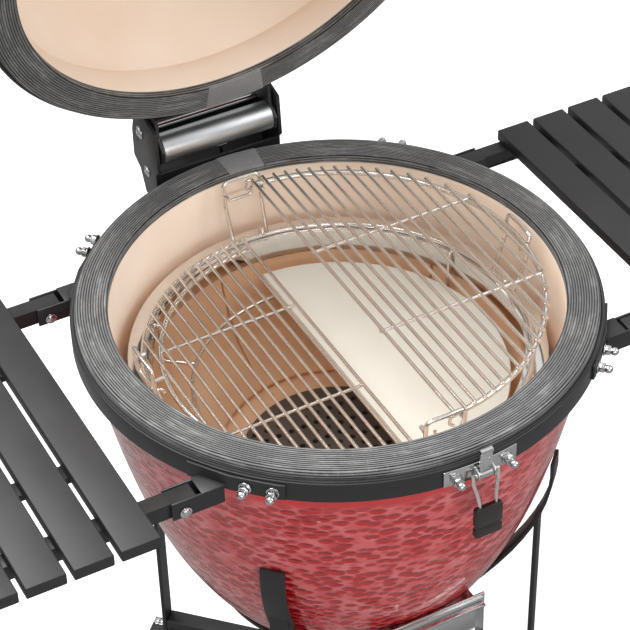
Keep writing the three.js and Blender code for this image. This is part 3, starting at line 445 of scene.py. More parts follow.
def turned(profile, steps=180, start=0.0, end=360.0, second_from=None):
    """A closed outline of (radius, height) turned about the egg's axis. UVs run round it and down
    the outline, in metres. Faces of the outline from number second_from on take the second finish."""
    whole = end - start > 359.9
    turns = max(2, round(steps * (end - start) / 360))
    rings = turns if whole else turns + 1
    count = len(profile)
    run = [0.0]
    for j in range(count):
        run.append(run[-1] + (Vector(profile[(j + 1) % count]) - Vector(profile[j])).length / 1000)
    shape = bmesh.new()
    around = shape.loops.layers.uv.new("around")
    points = [[shape.verts.new(polar(r, start + (end - start) * i / turns, z)) for r, z in profile]
              for i in range(rings)]
    for i in range(turns):
        for j in range(count):
            k, after = (j + 1) % count, (i + 1) % rings
            if profile[j][0] < 1e-6 and profile[k][0] < 1e-6:
                continue
            face = shape.faces.new((points[i][j], points[after][j], points[after][k], points[i][k]))
            face.material_index = 0 if second_from is None or not second_from(j, profile) else 1
            for loop, (turn, down) in zip(face.loops, ((i, j), (i + 1, j), (i + 1, j + 1), (i, j + 1))):
                arc = radians((end - start) * turn / turns + start) * RIM_RADIUS / 1000
                loop[around].uv = (arc, run[down])
    if not whole:
        for ring in (points[0], points[-1]):
            shape.faces.new(ring)
    bmesh.ops.remove_doubles(shape, verts=shape.verts, dist=1e-3)
    bmesh.ops.recalc_face_normals(shape, faces=shape.faces)
    return shape


def upright(outline, low, high, facing):
    """A closed outline pushed out along x or z."""
    shape = bmesh.new()
    shape.loops.layers.uv.new("around")
    lay = {"x": lambda p, at: (at, p[0], p[1]), "z": lambda p, at: (p[0], p[1], at),
           "y": lambda p, at: (p[0], at, p[1])}[facing]
    ends = [[shape.verts.new(lay(p, at)) for p in outline] for at in (low, high)]
    for ring in ends:
        shape.faces.new(ring)
    for i in range(len(outline)):
        j = (i + 1) % len(outline)
        shape.faces.new((ends[0][i], ends[0][j], ends[1][j], ends[1][i]))
    bmesh.ops.recalc_face_normals(shape, faces=shape.faces)
    return shape


def block(x0, x1, y0, y1, z0, z1):
    return upright(corners(x0, x1, y0, y1), z0, z1, "z")


def eased(shape, width, segments=2, sharper_than=40):
    """Takes the sharp edges off."""
    edges = [e for e in shape.edges
             if len(e.link_faces) == 2 and e.calc_face_angle(0) > radians(sharper_than)]
    bmesh.ops.bevel(shape, geom=edges, offset=width, segments=segments, profile=0.5,
                    affect="EDGES", clamp_overlap=True)
    return shape


def joined(*shapes):
    whole = shapes[0]
    spare = bpy.data.meshes.new("spare")
    for other in shapes[1:]:
        other.to_mesh(spare)
        whole.from_mesh(spare)
        other.free()
    bpy.data.meshes.remove(spare)
    return whole


def moved(shape, matrix):
    bmesh.ops.transform(shape, matrix=matrix, verts=shape.verts)
    return shape


def facing_along(start, way):
    """The matrix that puts z = 0 at start and turns z to face the given way."""
    return Matrix.Translation(start) @ way.to_track_quat("Z", "Y").to_matrix().to_4x4()


def laid_along(shape, start, end):
    """Moves a shape drawn up the z axis so that z = 0 is at start, facing end."""
    start, end = Vector(start), Vector(end)
    return moved(shape, facing_along(start, end - start))


def round_bar(start, end, radius, ease=0.8, steps=32, bore=0.0):
    length = (Vector(end) - Vector(start)).length
    outline = corners(bore, radius, 0, length)
    if bore:
        return laid_along(turned(rounded(outline, ease, 3), steps), start, end)
    tip = [(0, 0), (radius - ease, 0), (radius, ease),
           (radius, length - ease), (radius - ease, length), (0, length)]
    return laid_along(turned(tip, steps), start, end)


def body_of(node):
    return next(b for b, nodes in frame["record"]["behaviour"]["bodies"].items() if node in nodes)


def hung(made, name, finishes, *replaces, at=None, slot=None, sharp=32):
    """Puts a finished shape or mesh in the row frame, on the body of the CAD node
    that it stands for. A piece that stands for none gives the node it sits beside."""
    node = at or replaces[0]
    body = body_of(node)
    mesh = as_mesh(name, made) if isinstance(made, bmesh.types.BMesh) else made
    mesh.transform(lid_open @ to_row if body in TIPPED else to_row)
    return dressed(mesh, name, body, finishes, replaces, sharp)


def beside(made, name, finish, node, slot=None):
    """A piece that stands for no CAD node, on the body of the one it sits beside."""
    return hung(made, name, finish, at=node, slot=slot)


def dressed(mesh, name, body, finishes, replaces, sharp):
    mesh.shade_smooth()
    mesh.set_sharp_from_angle(angle=radians(sharp))
    piece = placed(name, mesh)
    finishes = finishes if isinstance(finishes, tuple) else (finishes,)
    if list(mesh.materials) != list(finishes):
        mesh.materials.clear()
        for finish in finishes:
            mesh.materials.append(finish)
    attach(piece, body)
    if replaces:
        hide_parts(*replaces)
    return piece


def drilled(shape, tool, finishes=()):
    """Cuts one shape out of another."""
    things = []
    for part in (shape, tool):
        mesh = bpy.data.meshes.new("blank")
        part.to_mesh(mesh)
        for finish in finishes:
            mesh.materials.append(finish)
        part.free()
        things.append(placed("blank", mesh))
    cut = things[0].modifiers.new("cut", "BOOLEAN")
    cut.object, cut.operation, cut.solver = things[1], "DIFFERENCE", "EXACT"
    return plain_mesh(things[0], things[1])


def plain_mesh(host, *spares):
    """The evaluated mesh of a host object, after which the host and its helpers go."""
    bpy.context.view_layer.update()
    drawn = host.evaluated_get(bpy.context.evaluated_depsgraph_get())
    mesh = bpy.data.meshes.new_from_object(drawn)
    for thing in (host, *spares):
        bpy.data.objects.remove(thing)
    return mesh


def copy_of(node, width=0.8, segments=2, sharper_than=35):
    """A CAD node's own shape with its edges eased, in the row frame."""
    shape = bmesh.new()
    shape.from_mesh(frame["nodes"][node].data)
    bmesh.ops.remove_doubles(shape, verts=shape.verts, dist=2e-5)
    bmesh.ops.dissolve_limit(shape, angle_limit=radians(1), verts=shape.verts, edges=shape.edges)
    eased(shape, width / 1000, segments, sharper_than)
    return moved(shape, to_row.inverted())


def softened(name, node, finish, width=0.8, extra=()):
    """Stands for a CAD node with its own shape, its edges eased, and extra shapes on it."""
    mesh = as_mesh(name, joined(copy_of(node, width), *extra))
    mesh.transform(to_row)
    return dressed(mesh, name, body_of(node), finish, (node,), 32)


# ---- trees that repeat shapes or follow a path ----
def real_tree(tree, grown_node, given, made):
    """Ends a tree with real geometry that wears the finish it was given."""
    real = add_node(tree, "GeometryNodeRealizeInstances", {0: grown_node.outputs[0]})
    done = add_node(tree, "GeometryNodeSetMaterial", {0: real.outputs[0], "Material": given["Finish"]})
    tree.links.new(done.outputs[0], made[0])
    return tree


def wire_tree():
    """Every path in the mesh becomes a round wire with bent corners."""
    tree, given, made = new_group("bent wire", "GeometryNodeTree", [
        ("Paths", "Geometry"), ("Wire radius", 3.0),
        ("Bend radius", 8.0), ("Sides", 12),
        ("Finish", "Material")], ["Wires"], "Geometry")
    path = add_node(tree, "GeometryNodeMeshToCurve", {0: given["Paths"]})
    bent = add_node(tree, "GeometryNodeFilletCurve", {0: path.outputs[0], "Radius": given["Bend radius"],
                                                      "Limit Radius": True, "Count": 5}, mode="POLY")
    section = add_node(tree, "GeometryNodeCurvePrimitiveCircle",
                       {"Resolution": given["Sides"], "Radius": given["Wire radius"]})
    wires = add_node(tree, "GeometryNodeCurveToMesh", {
        0: bent.outputs[0], "Profile Curve": section.outputs[0], "Fill Caps": True})
    return real_tree(tree, wires, given, made)


def fitting_tree():
    """One fitting at every point, turned to face the way the point's facing attribute says."""
    tree, given, made = new_group("fittings", "GeometryNodeTree", [
        ("Places", "Geometry"), ("Fitting", "Object"),
        ("Turn spread", 6.28), ("Size spread", 0.0),
        ("Finish", "Material")], ["Fittings"], "Geometry")
    facing = add_node(tree, "GeometryNodeInputNamedAttribute", {"Name": "facing"}, data_type="FLOAT_VECTOR")
    aimed = add_node(tree, "FunctionNodeAlignRotationToVector", {"Vector": facing.outputs[0]}, axis="Z")
    turn = add_node(tree, "FunctionNodeRandomValue", {"Max": given["Turn spread"], "Seed": 5},
                    data_type="FLOAT")
    turn.inputs[2].default_value = 0.0
    tree.links.new(given["Turn spread"], turn.inputs[3])
    spin = add_node(tree, "FunctionNodeAxisAngleToRotation", {"Axis": (0, 0, 1), "Angle": turn.outputs[1]})
    both = add_node(tree, "FunctionNodeRotateRotation", {0: aimed.outputs[0], 1: spin.outputs[0]},
                    rotation_space="LOCAL")
    size = add_node(tree, "FunctionNodeRandomValue", {"Seed": 9}, data_type="FLOAT")
    tree.links.new(maths(tree, "SUBTRACT", 1.0, given["Size spread"]), size.inputs[2])
    tree.links.new(maths(tree, "ADD", 1.0, given["Size spread"]), size.inputs[3])
    shape = add_node(tree, "GeometryNodeObjectInfo", {"Object": given["Fitting"]}, transform_space="ORIGINAL")
    spread = add_node(tree, "GeometryNodeInstanceOnPoints", {
        "Points": given["Places"], "Instance": shape.outputs["Geometry"], "Rotation": both.outputs[0],
        "Scale": size.outputs[1]})
    return real_tree(tree, spread, given, made)


def row_tree():
    """A row of one shape repeated at an even pitch."""
    tree, given, made = new_group("even row", "GeometryNodeTree", [
        ("Unused", "Geometry"), ("Shape", "Object"),
        ("Count", 5), ("Pitch", (62.0, 0.0, 0.0)),
        ("Finish", "Material")], ["Row"], "Geometry")
    line = add_node(tree, "GeometryNodeMeshLine", {"Count": given["Count"], "Offset": given["Pitch"]})
    shape = add_node(tree, "GeometryNodeObjectInfo", {"Object": given["Shape"]}, transform_space="ORIGINAL")
    spread = add_node(tree, "GeometryNodeInstanceOnPoints", {"Points": line.outputs[0],
                                                             "Instance": shape.outputs["Geometry"]})
    return real_tree(tree, spread, given, made)


WIRES, FITTINGS, ROW = wire_tree(), fitting_tree(), row_tree()


def grown(host_mesh, tree, spares=(), **values):
    """Runs one of the trees on a mesh and returns the plain result."""
    host = placed("host", host_mesh)
    modifier = host.modifiers.new("grow", "NODES")
    modifier.node_group = tree
    sockets = {s.name: s.identifier for s in tree.interface.items_tree if s.in_out == "INPUT"}
    for label, value in values.items():
        modifier[sockets[label.replace("_", " ")]] = value
    return plain_mesh(host, *spares)


def wires(paths, radius, bend=8.0, finish=WIRE, sides=12):
    """Round wires along paths of points. A path that ends where it began is a closed ring."""
    points, edges = [], []
    for path in paths:
        first = len(points)
        closed = (Vector(path[0]) - Vector(path[-1])).length < 1e-6
        points += path[:-1] if closed else path
        edges += [(i, i + 1) for i in range(first, len(points) - 1)]
        if closed:
            edges.append((len(points) - 1, first))
    mesh = bpy.data.meshes.new("paths")
    mesh.from_pydata(points, edges, [])
    return as_shape(grown(mesh, WIRES, Wire_radius=float(radius), Bend_radius=float(bend),
                          Sides=sides, Finish=finish))


def fittings(template, places, finish, turn=6.28, spread=0.0):
    """Copies of a small shape at (point, direction) places."""
    mesh = bpy.data.meshes.new("places")
    mesh.from_pydata([p for p, _ in places], [], [])
    facing = mesh.attributes.new("facing", "FLOAT_VECTOR", "POINT")
    facing.data.foreach_set("vector", [v for _, way in places for v in way])
    small = as_mesh("fitting", template)
    small.shade_smooth()
    pattern = placed("fitting", small)
    return as_shape(grown(mesh, FITTINGS, (pattern,), Fitting=pattern, Turn_spread=float(turn),
                          Size_spread=float(spread), Finish=finish))


def arc(radius, z, start=0.0, end=360.0, steps=160):
    count = max(4, round(steps * (end - start) / 360))
    return [polar(radius, start + (end - start) * i / count, z) for i in range(count + 1)]


def outward(angle):
    return polar(1, angle, 0)


# ---- small fittings ----
def acorn_nut():
    """A washer, a hexagon and a domed cap, standing up from z = 0."""
    washer = turned(rounded(corners(4, 8.6, 0, 1.6), 0.5, 2), 28)
    hexagon = upright([polar(7.6, 60 * i, 0)[:2] for i in range(6)], 1.6, 9.0, "z")
    ball = [(5.9 * sin(a * pi / 12), 14.2 + 5.9 * cos(a * pi / 12)) for a in range(1, 9)]
    cap = turned([(0, 20.1), *ball, (4.6, 9.6), (4.6, 8), (0, 8)], 24)
    return joined(washer, eased(hexagon, 0.6, 2), cap)


def button_head(radius=6.5, high=3.8):
    """A low domed bolt head with a six-sided socket, on a thin washer."""
    head = [(0, high)] + [(radius * sin(a * pi / 12), high * cos(a * pi / 12)) for a in range(1, 7)]
    body = turned(head + [(radius, -0.5), (0, -0.5)], 24)
    washer = turned(rounded(corners(radius - 2, radius + 2.2, -0.5, 0.7), 0.3, 2), 28)
    socket = upright([polar(2.4, 60 * i, 0)[:2] for i in range(6)], high - 1.2, high + 0.25, "z")
    return joined(body, washer, socket)


def weld_bead():
    """A small flattened blob of weld."""
    shape = bmesh.new()
    bmesh.ops.create_icosphere(shape, subdivisions=1, radius=1.0)
    return moved(shape, Matrix.Diagonal((3.4, 3.4, 2.0, 1)))


# ---- the egg ----
def egg_bowl():
    rim = -12.3
    outside = [(egg_radius(z), z) for z in range(-60, -BASE_DEPTH + 6, -7)]
    shell = [(COLLAR, -45), (COLLAR - 5.6, -50), *outside, (egg_radius(-BASE_DEPTH) - 3, -BASE_DEPTH)]
    inside = rounded([(-60, -BASE_DEPTH), (-60, -483), (egg_radius(-BASE_DEPTH) - WALL, -483),
                      (egg_radius(-430) - WALL, -430), (225, -380), (225, -335),
                      (egg_radius(-330) - WALL, -330.3), (egg_radius(-240) - WALL, -240),
                      (egg_radius(-170) - WALL, -170), (OPENING, -100), (OPENING, rim),
                      (RIM_RADIUS - 3, rim), (COLLAR, rim - 7)], 4, 3)
    inside = [(0, -BASE_DEPTH), (0, -483)] + [p for p in inside if p[0] > 0]
    glazed = len(shell) - 1

    def bare(j, profile):
        return j >= glazed and not (profile[j][0] > RIM_RADIUS - 2 and profile[j][1] > -20)

    bowl = turned(shell + inside, 180, second_from=bare)
    mouth = upright(rounded(corners(-80, 80, -484, -414), 4, 3), -RIM_RADIUS, -120, "y")
    return drilled(bowl, mouth, (GLAZE, BISQUE))


def dome_profile(radius, height, start, steps):
    top = height * (1 - (VENT_HOLE / radius) ** LID_POWER) ** (1 / LID_POWER)
    first, last = asin(start / height), asin(top / height)
    heights = [height * sin(first + (last - first) * i / steps) for i in range(steps + 1)]
    return [(dome_radius(z, radius, height) if i < steps else VENT_HOLE, z) for i, z in enumerate(heights)]


def egg_lid():
    rim = 12.6
    outside = [(COLLAR, 45), *dome_profile(RIM_RADIUS - 3, LID_HEIGHT, 51, 64)]
    inner = RIM_RADIUS - 3 - WALL
    inside = dome_profile(inner, LID_HEIGHT - WALL, 65, 26)[::-1]
    inside += [(OPENING, 45), (OPENING, rim + 1), (OPENING + 1, rim), (RIM_RADIUS - 4, rim),
               (COLLAR, rim + 7)]
    glazed = len(outside) - 1

    def bare(j, profile):
        return j >= glazed and not (profile[j][0] > RIM_RADIUS - 2 and profile[j][1] > 18)

    dome = turned(outside + inside, 180, second_from=bare)
    return drilled(dome, round_bar(dial_point(-80), dial_point(40), 5.4), (GLAZE, BISQUE))


def gasket_profile(low, up):
    """Ribbed on its outer face; up is 1 for the lower gasket and -1 for the lid's."""
    face = low + (12 if up > 0 else 0)
    back = low + (0 if up > 0 else 12)
    ribs = []
    for k in range(11 * 5 + 1):
        r = OPENING + 1.6 + (RIM_RADIUS - 5 - OPENING - 1.6) * k / 55
        ribs.append((r, face - up * (1.25 - 0.95 * abs(sin(pi * k / 5)) ** 0.7)))
    bend = [(RIM_RADIUS - 5 + 5 * sin(a), face - up * (1.2 + 4.5 * (1 - cos(a))))
            for a in (0.5, 0.9, 1.25, 1.57)]
    side = [(RIM_RADIUS, back + up * 4), (RIM_RADIUS, back), (OPENING, back), (OPENING, face - up * 2.2)]
    return ribs + bend + side


def gasket(low, up):
    profile = gasket_profile(low, up)
    return turned(profile, 240, second_from=lambda j, p: j > 57)


def gasket_patch(low, up, start, end):
    """The plain overlap that joins the ends of the tape."""
    face = low + (12 if up > 0 else 0)
    outline = [(OPENING - 0.2, face - up * 5), (OPENING - 0.2, face - up * 0.6), (OPENING + 3, face),
               (RIM_RADIUS - 4, face), (RIM_RADIUS - 0.6, face - up * 2), (RIM_RADIUS + 0.6, face - up * 6),
               (RIM_RADIUS + 0.6, face - up * 9), (RIM_RADIUS - 2, face - up * 9),
               (RIM_RADIUS - 6, face - up * 3)]
    return eased(turned(outline, 240, start, end), 0.5)


def band(low):
    outline = corners(BAND_RADIUS - 3, BAND_RADIUS, low, low + 31)
    return turned(rounded(outline, 1.1, 3), 240)


def dark_strip(low):
    """The dark strip between the tape and the steel band."""
    outline = [(350, low), (359.5, low), (360.6, low + 1.2), (358.6, low + 3.6), (352, low + 3.8)]
    return turned(outline, 240)


def dial_point(out, up=0.0, side=0.0):
    """A point of the lid thermometer, out along its stem and up its face."""
    high = 165
    below, here, above = (dome_radius(z, RIM_RADIUS - 3, LID_HEIGHT) for z in (high - 5, high, high + 5))
    tilt = atan2(below - above, 10)
    away = Vector((0, -cos(tilt), sin(tilt)))
    over = Vector((0, sin(tilt), cos(tilt)))
    return Vector((side, -here, high)) + away * out + over * up


hung(egg_bowl(), "egg_bowl", (GLAZE, BISQUE), "ceramic_base")
hung(egg_lid(), "egg_lid", (GLAZE, BISQUE), "ceramic_lid")
hung(gasket(-12, 1), "lower_gasket", (TAPE, TAPE_EDGE), "base_gasket")
hung(gasket(0.3, -1), "lid_seal", (TAPE, TAPE_EDGE), "lid_gasket")
beside(gasket_patch(-12, 1, 81.5, 91.5), "lower_gasket_overlap", TAPE_PATCH, "base_gasket")
beside(gasket_patch(0.3, -1, 78, 93), "lid_gasket_overlap", TAPE_PATCH, "lid_gasket")
hung(band(-45), "lower_band", BLACK, "base_band")
hung(band(14), "upper_band", BLACK, "lid_band")
beside(dark_strip(-16.2), "lower_sealant", TAPE_EDGE, "base_band")
beside(dark_strip(12.6), "upper_sealant", TAPE_EDGE, "lid_band")


# ---- firebox, rack, grates and deflector ----
def firebox_panel(number):
    top, foot = -100.6, -302.7

    def part(share):
        return top + (foot - top) * share

    outline = rounded([(FIREBOX, top), (FIREBOX + 28, top), (FIREBOX + 28, part(0.3)),
                       (egg_radius(part(0.65)) - WALL - 8, part(0.65)), (egg_radius(foot) - WALL - 8, foot),
                       (CHARCOAL_RADIUS + 24, foot), (FIREBOX - 68, part(0.88)), (FIREBOX - 34, part(0.7)),
                       (FIREBOX - 12, part(0.48)), (FIREBOX, part(0.25))], 5, 3)
    start = 30 + 72 * number
    return eased(turned(outline, 180, start + 0.27, start + 72 - 0.27), 2.2, 2, 60)


for number in range(5):
    hung(firebox_panel(number), f"clay_panel_{number + 1}", FIREBRICK, f"firebox_panel_{number + 1}")
fire_floor = rounded([(127, -330), (egg_radius(-330) - WALL - 4, -330), (egg_radius(-330) - WALL - 4, -303),
                      (142, -303), (142, -312.3), (127, -312.3)], 1.2, 2)
hung(turned(fire_floor, 120), "clay_floor", FIREBRICK, "firebox_floor")
ring_sheet = rounded([(FIREBOX - 4, -134), (FIREBOX - 2.6, -134), (FIREBOX - 2.6, -100.3),
                      (FIREBOX + 28, -100.3), (FIREBOX + 28, -98.3), (FIREBOX - 4, -98.3)], 0.6, 3)
hung(turned(ring_sheet, 180), "steel_ring", RING, "firebox_band")


def charcoal_plate():
    low, top = -312, -300
    plate = turned([(0, low), (CHARCOAL_RADIUS - 1.5, low), (CHARCOAL_RADIUS, low + 1.5),
                    (CHARCOAL_RADIUS, top - 1.5), (CHARCOAL_RADIUS - 1.5, top), (0, top)], 96)
    hole = turned(corners(0, 4.6, low - 3, top + 3), 10)
    places = []
    pitch = 20.5
    for row in range(-6, 7):
        for k in range(-7, 8):
            x, y = pitch * (k + 0.5 * (row % 2)), pitch * 0.866 * row
            if hypot(x, y) < CHARCOAL_RADIUS - 12:
                places.append(((x, y, 0), (0, 0, 1)))
    return drilled(plate, fittings(hole, places, IRON, turn=0.0))


hung(charcoal_plate(), "fire_grate", IRON, "charcoal_grate")

round_edge = [polar(240, -88.8 + 177.6 * i / 90, 0)[:2] for i in range(91)]
deflector_outline = [(4, -239.9), *round_edge, (4, 239.9)]
hung(eased(upright(deflector_outline, -157, -143, "z"), 2.4, 3), "heat_plate", CREAM, "heat_deflector")


def half_grate(side, ring_radius, reach, ring_z, bar_z):
    """Bars front to back over a half ring, with two cross rods and a bead of weld at each crossing."""
    from_x = 13
    edge = degrees(acos(from_x / ring_radius))
    turn = 0 if side > 0 else 180
    ring = [polar(ring_radius, turn - edge + 2 * edge * i / 90, ring_z) for i in range(91)]
    bars, beads = [], []
    under = (ring_z + bar_z) / 2 - 1
    k = 0
    while 15 + 16.9 * k <= ring_radius - 8.45:
        x = 15 + 16.9 * k
        half = sqrt(reach**2 - x**2)
        bars.append([(side * x, -half, bar_z), (side * x, half, bar_z)])
        on_ring = sqrt(ring_radius**2 - x**2)
        for y in (-on_ring, on_ring, -97, 97):
            if abs(y) < on_ring + 1:
                beads.append(((side * x, y, bar_z - 1.9), (0, 0, 1)))
        k += 1
    rods = []
    for y in (-97, 97):
        end = sqrt(ring_radius**2 - y**2)
        rods.append([(side * from_x, y, under), (side * end, y, under)])
    hooks = [[(side * 15, s * (reach - 1), bar_z), (side * 8, s * (reach + 1), bar_z - 1),
              (side * 6, s * (reach + 1), bar_z - 15), (side * 13, s * (reach + 1), bar_z - 19)]
             for s in (-1, 1)]
    small = wires([*bars, *rods], 2.5, 0)
    return joined(small, wires([ring], 4, 0), wires(hooks, 2.2, 4),
                  fittings(weld_bead(), beads, WIRE, spread=0.15))


hung(half_grate(1, 282, 286.5, -10.5, -4), "upper_grate", WIRE, "upper_half_grate")
hung(half_grate(-1, 244, 266.5, -93.1, -86.6), "lower_grate", WIRE, "lower_half_grate")


def rack():
    side = degrees(asin(29 / 291))
    heavy = wires([arc(268, -94)], 4, 0)
    loops, small, beads = [], [], []
    for facing in (0, 90, 180, 270):
        left, right = facing - side, facing + side
        loops.append([polar(268, left, -94), polar(287, left, -40), polar(291, left, 2),
                      polar(291, facing, 2), polar(291, right, 2), polar(287, right, -40),
                      polar(268, right, -94)])
        for at in (left, right):
            loops.append([polar(290, at, -18), polar(275, at, -18)])
            beads.append((polar(268, at, -91), (0, 0, 1)))
        small.append([polar(290, right, -14), polar(289, right - 0.22 * side, -31),
                      polar(289, left + 0.5 * side, -31), polar(289, left + 0.45 * side, -19)])
        curl = facing - 3.5
        small.append([polar(268, curl, -91), polar(269, curl, -79),
                      polar(260, curl, -77), polar(257, curl, -86)])
    return joined(heavy, wires(loops, 3, 9), wires(small, 2.4, 5),
                  fittings(weld_bead(), beads, WIRE, spread=0.1))


hung(rack(), "wire_rack", WIRE, "cooking_rack")


def plate_hanger():
    ring, z, drop = 204, -160.3, FIREBOX - 9.5
    hangers = [[polar(ring, a, z), polar(drop, a, z), polar(drop, a, -95), polar(FIREBOX - 2, a, -95)]
               for a in (22, 142, 262)]
    rungs = [[(x, -sqrt(ring**2 - x * x), z), (x, sqrt(ring**2 - x * x), z)] for x in (60, 160)]
    return joined(wires([arc(ring, z)], 3, 0), wires([*hangers, *rungs], 3, 7))


hung(plate_hanger(), "deflector_hanger", WIRE, "deflector_rack")


# ---- latch ----
LATCH_X, PIN_Y, PIN_Z = 8, -373, -33
latch_angle = -90 + degrees(asin(LATCH_X / BAND_RADIUS))


def curved_plate(low, high, half):
    outline = corners(BAND_RADIUS + 0.3, BAND_RADIUS + 3, low, high)
    return eased(turned(outline, 720, latch_angle - half, latch_angle + half), 0.5)


def latch_mount():
    ears = []
    for x0, x1 in ((-13, -10.4), (10.4, 13)):
        outline = rounded([(PIN_Y - 6, PIN_Z - 6), (-BAND_RADIUS - 1, PIN_Z - 8),
                           (-BAND_RADIUS - 1, PIN_Z + 14), (PIN_Y - 6, PIN_Z + 6)], 4, 4)
        ears.append(eased(upright(outline, LATCH_X + x0, LATCH_X + x1, "x"), 0.4))
    nut_places = [(polar(365, a, -34), outward(a)) for a in (-94.5, -82.6)]
    nuts = fittings(acorn_nut(), nut_places, NUT)
    return joined(curved_plate(-43, -18, 8.5), *ears, nuts)


def latch_catch():
    plate = eased(block(LATCH_X - 9, LATCH_X + 9, PIN_Y - 1.5, PIN_Y + 1.5, PIN_Z, 4), 0.5)
    slot = eased(block(LATCH_X - 5, LATCH_X + 5, PIN_Y - 2.2, PIN_Y - 1.4, PIN_Z + 10, -6), 0.3)
    roll = round_bar((LATCH_X - 9, PIN_Y, 6), (LATCH_X + 9, PIN_Y, 6), 4)
    barrel = round_bar((LATCH_X - 10, PIN_Y, PIN_Z), (LATCH_X + 10, PIN_Y, PIN_Z), 5)
    pin = round_bar((LATCH_X - 15, PIN_Y, PIN_Z), (LATCH_X + 15, PIN_Y, PIN_Z), 3)
    return joined(plate, slot, roll, barrel, pin)


def latch_pull():
    y0, y1, low, high = PIN_Y - 14, PIN_Y - 5, PIN_Z - 97, PIN_Z - 47

    def pad(z0, z1, inset=0.0):
        outline = rounded(corners(LATCH_X - 20 + inset, LATCH_X + 20 - inset, z0, z1), 4, 4)
        return eased(upright(outline, y0 + inset, y1 - inset, "y"), 1.6, 3)

    return joined(pad(low, low + 16), pad(low + 10, low + 22, 1.2), pad(low + 17.5, high))


handle_wires = [[(LATCH_X + s * 18, PIN_Y, PIN_Z + 3), (LATCH_X + s * 18, PIN_Y - 2, PIN_Z - 12),
                 (LATCH_X + s * 14, PIN_Y - 5, PIN_Z - 28), (LATCH_X + s * 12, PIN_Y - 8, PIN_Z - 42),
                 (LATCH_X + s * 12, PIN_Y - 9.5, PIN_Z - 55)] for s in (-1, 1)]
hung(latch_mount(), "latch_mount", SHEET, "latch_plate")
hung(latch_catch(), "latch_catch", NUT, "latch_hook")
hung(latch_pull(), "latch_pad", GRIP, "latch_handle")
beside(wires(handle_wires, 2.5, 10), "latch_wires", WIRE, "latch_handle", "stainless")
keeper_lip = eased(block(LATCH_X - 10, LATCH_X + 10, -BAND_RADIUS - 11, -BAND_RADIUS - 1, 20, 23), 0.8)
hung(joined(curved_plate(18, 41, 4), keeper_lip), "lid_catch", SHEET, "latch_keeper")


# ---- shelves ----
def slats(side):
    """Five slats with rounded edges and closed ends, on two battens."""
    outline = rounded(corners(0, 53, -36, -18), 2.2, 3)
    slat = eased(upright([(side * (398 + x), z) for x, z in outline], -289, 231, "y"), 1.2, 2, 50)
    pattern = placed("slat", as_mesh("slat", slat))
    shape = as_shape(grown(bpy.data.meshes.new("row"), ROW, (pattern,), Shape=pattern, Count=5,
                           Pitch=(62.0 * side, 0.0, 0.0), Finish=BLACK_SOFT))
    battens = [eased(block(side * 408, side * 689, y - 13, y + 13, -46, -35.5), 1) for y in (-110, 110)]
    screws = [((side * (398 + 26.5 + 62 * i), y, -45.8), (0, 0, -1)) for i in range(5) for y in (-110, 110)]
    return joined(shape, *battens, fittings(button_head(4, 2.4), screws, BLACK_SOFT))


for side, hand in ((1, "right"), (-1, "left")):
    hung(slats(side), f"{hand}_slats", BLACK_SOFT, f"shelf_slats_{hand}")
    for way, place in ((-1, "front"), (1, "rear")):
        y = way * 215
        softened(f"{hand}_{place}_arm", f"shelf_arm_{hand}_{place}", BLACK, 1.2, extra=[
            eased(block(side * 688, side * 694, y - 12.6, y + 12.6, -61.5, -35.7), 1.5)])
        near, far = y - 16.5, y + 16.5
        outline = [(side * sqrt(362.5**2 - near**2), near), (side * 317, near), (side * 317, far),
                   (side * sqrt(362.5**2 - far**2), far)]
        cover = eased(upright(outline, -37.2, -34.2, "z"), 0.8)
        softened(f"{hand}_{place}_bracket", f"shelf_bracket_{hand}_{place}", BLACK, 0.6, extra=[cover])
        bolts = [((side * 340, y + s * 17.2, -55), (0, s, 0)) for s in (-1, 1)]
        beside(fittings(button_head(6, 3.4), bolts, NUT), f"{hand}_{place}_pivot_bolts", NUT,
               f"shelf_bracket_{hand}_{place}", "stainless")

band_nuts = [(polar(366, a, z), outward(a)) for a, z in NUT_PLACES]
beside(fittings(acorn_nut(), band_nuts, NUT), "band_nuts", NUT, "base_band", "stainless")

# ---- hinge ----
HINGE_Y, HINGE_Z = 412, 42
softened("lower_hinge_plates", "hinge_base_bracket", BLACK, 1.2)
softened("upper_hinge_plates", "hinge_lid_bracket", BLACK, 1.2)
tube_y, tube_z = HINGE_Y - 0.5, HINGE_Z - 39.3
tube = joined(round_bar((-87.7, tube_y, tube_z), (87.7, tube_y, tube_z), 21.5, 1.0, 72, 6),
              round_bar((-87.0, tube_y, tube_z), (87.0, tube_y, tube_z), 8, 1.0, 24))
hung(tube, "spring_housing", BRUSHED, "spring_tube")
pin = round_bar((-102, HINGE_Y, HINGE_Z), (102, HINGE_Y, HINGE_Z), 4.9)
pin_heads = fittings(button_head(8, 4.4), [((s * 101.4, HINGE_Y, HINGE_Z), (s, 0, 0)) for s in (-1, 1)], NUT)
hung(joined(pin, pin_heads), "hinge_axle", NUT, "hinge_pin")
low_bolts = [((s * 101.4, 394, -16), (s, 0, 0)) for s in (-1, 1)]
beside(fittings(button_head(6.5, 3.6), low_bolts, NUT), "hinge_side_bolts", NUT, "hinge_pin")
stop_bolt = joined(round_bar((11, 376, -14), (11, 376, 3), 2.6), round_bar((3, 376, 4), (19, 376, 4), 3))
beside(stop_bolt, "hinge_tee_bolt", NUT, "hinge_pin")

# ---- lid fittings ----
post_reach = sqrt(BAND_RADIUS**2 - 128**2) + 0.3
grip = [round_bar((-170, -420, 30), (170, -420, 30), 15, 3, 48)]
grip += [round_bar((s * 163, -420, 30), (s * 171, -420, 30), 15.6, 2, 48) for s in (-1, 1)]
grip += [eased(block(s * 140 - 12, s * 140 + 12, -420, -post_reach, 22, 38), 2, 3) for s in (-1, 1)]
hung(joined(*grip), "lid_grip", CAST, "lid_handle")

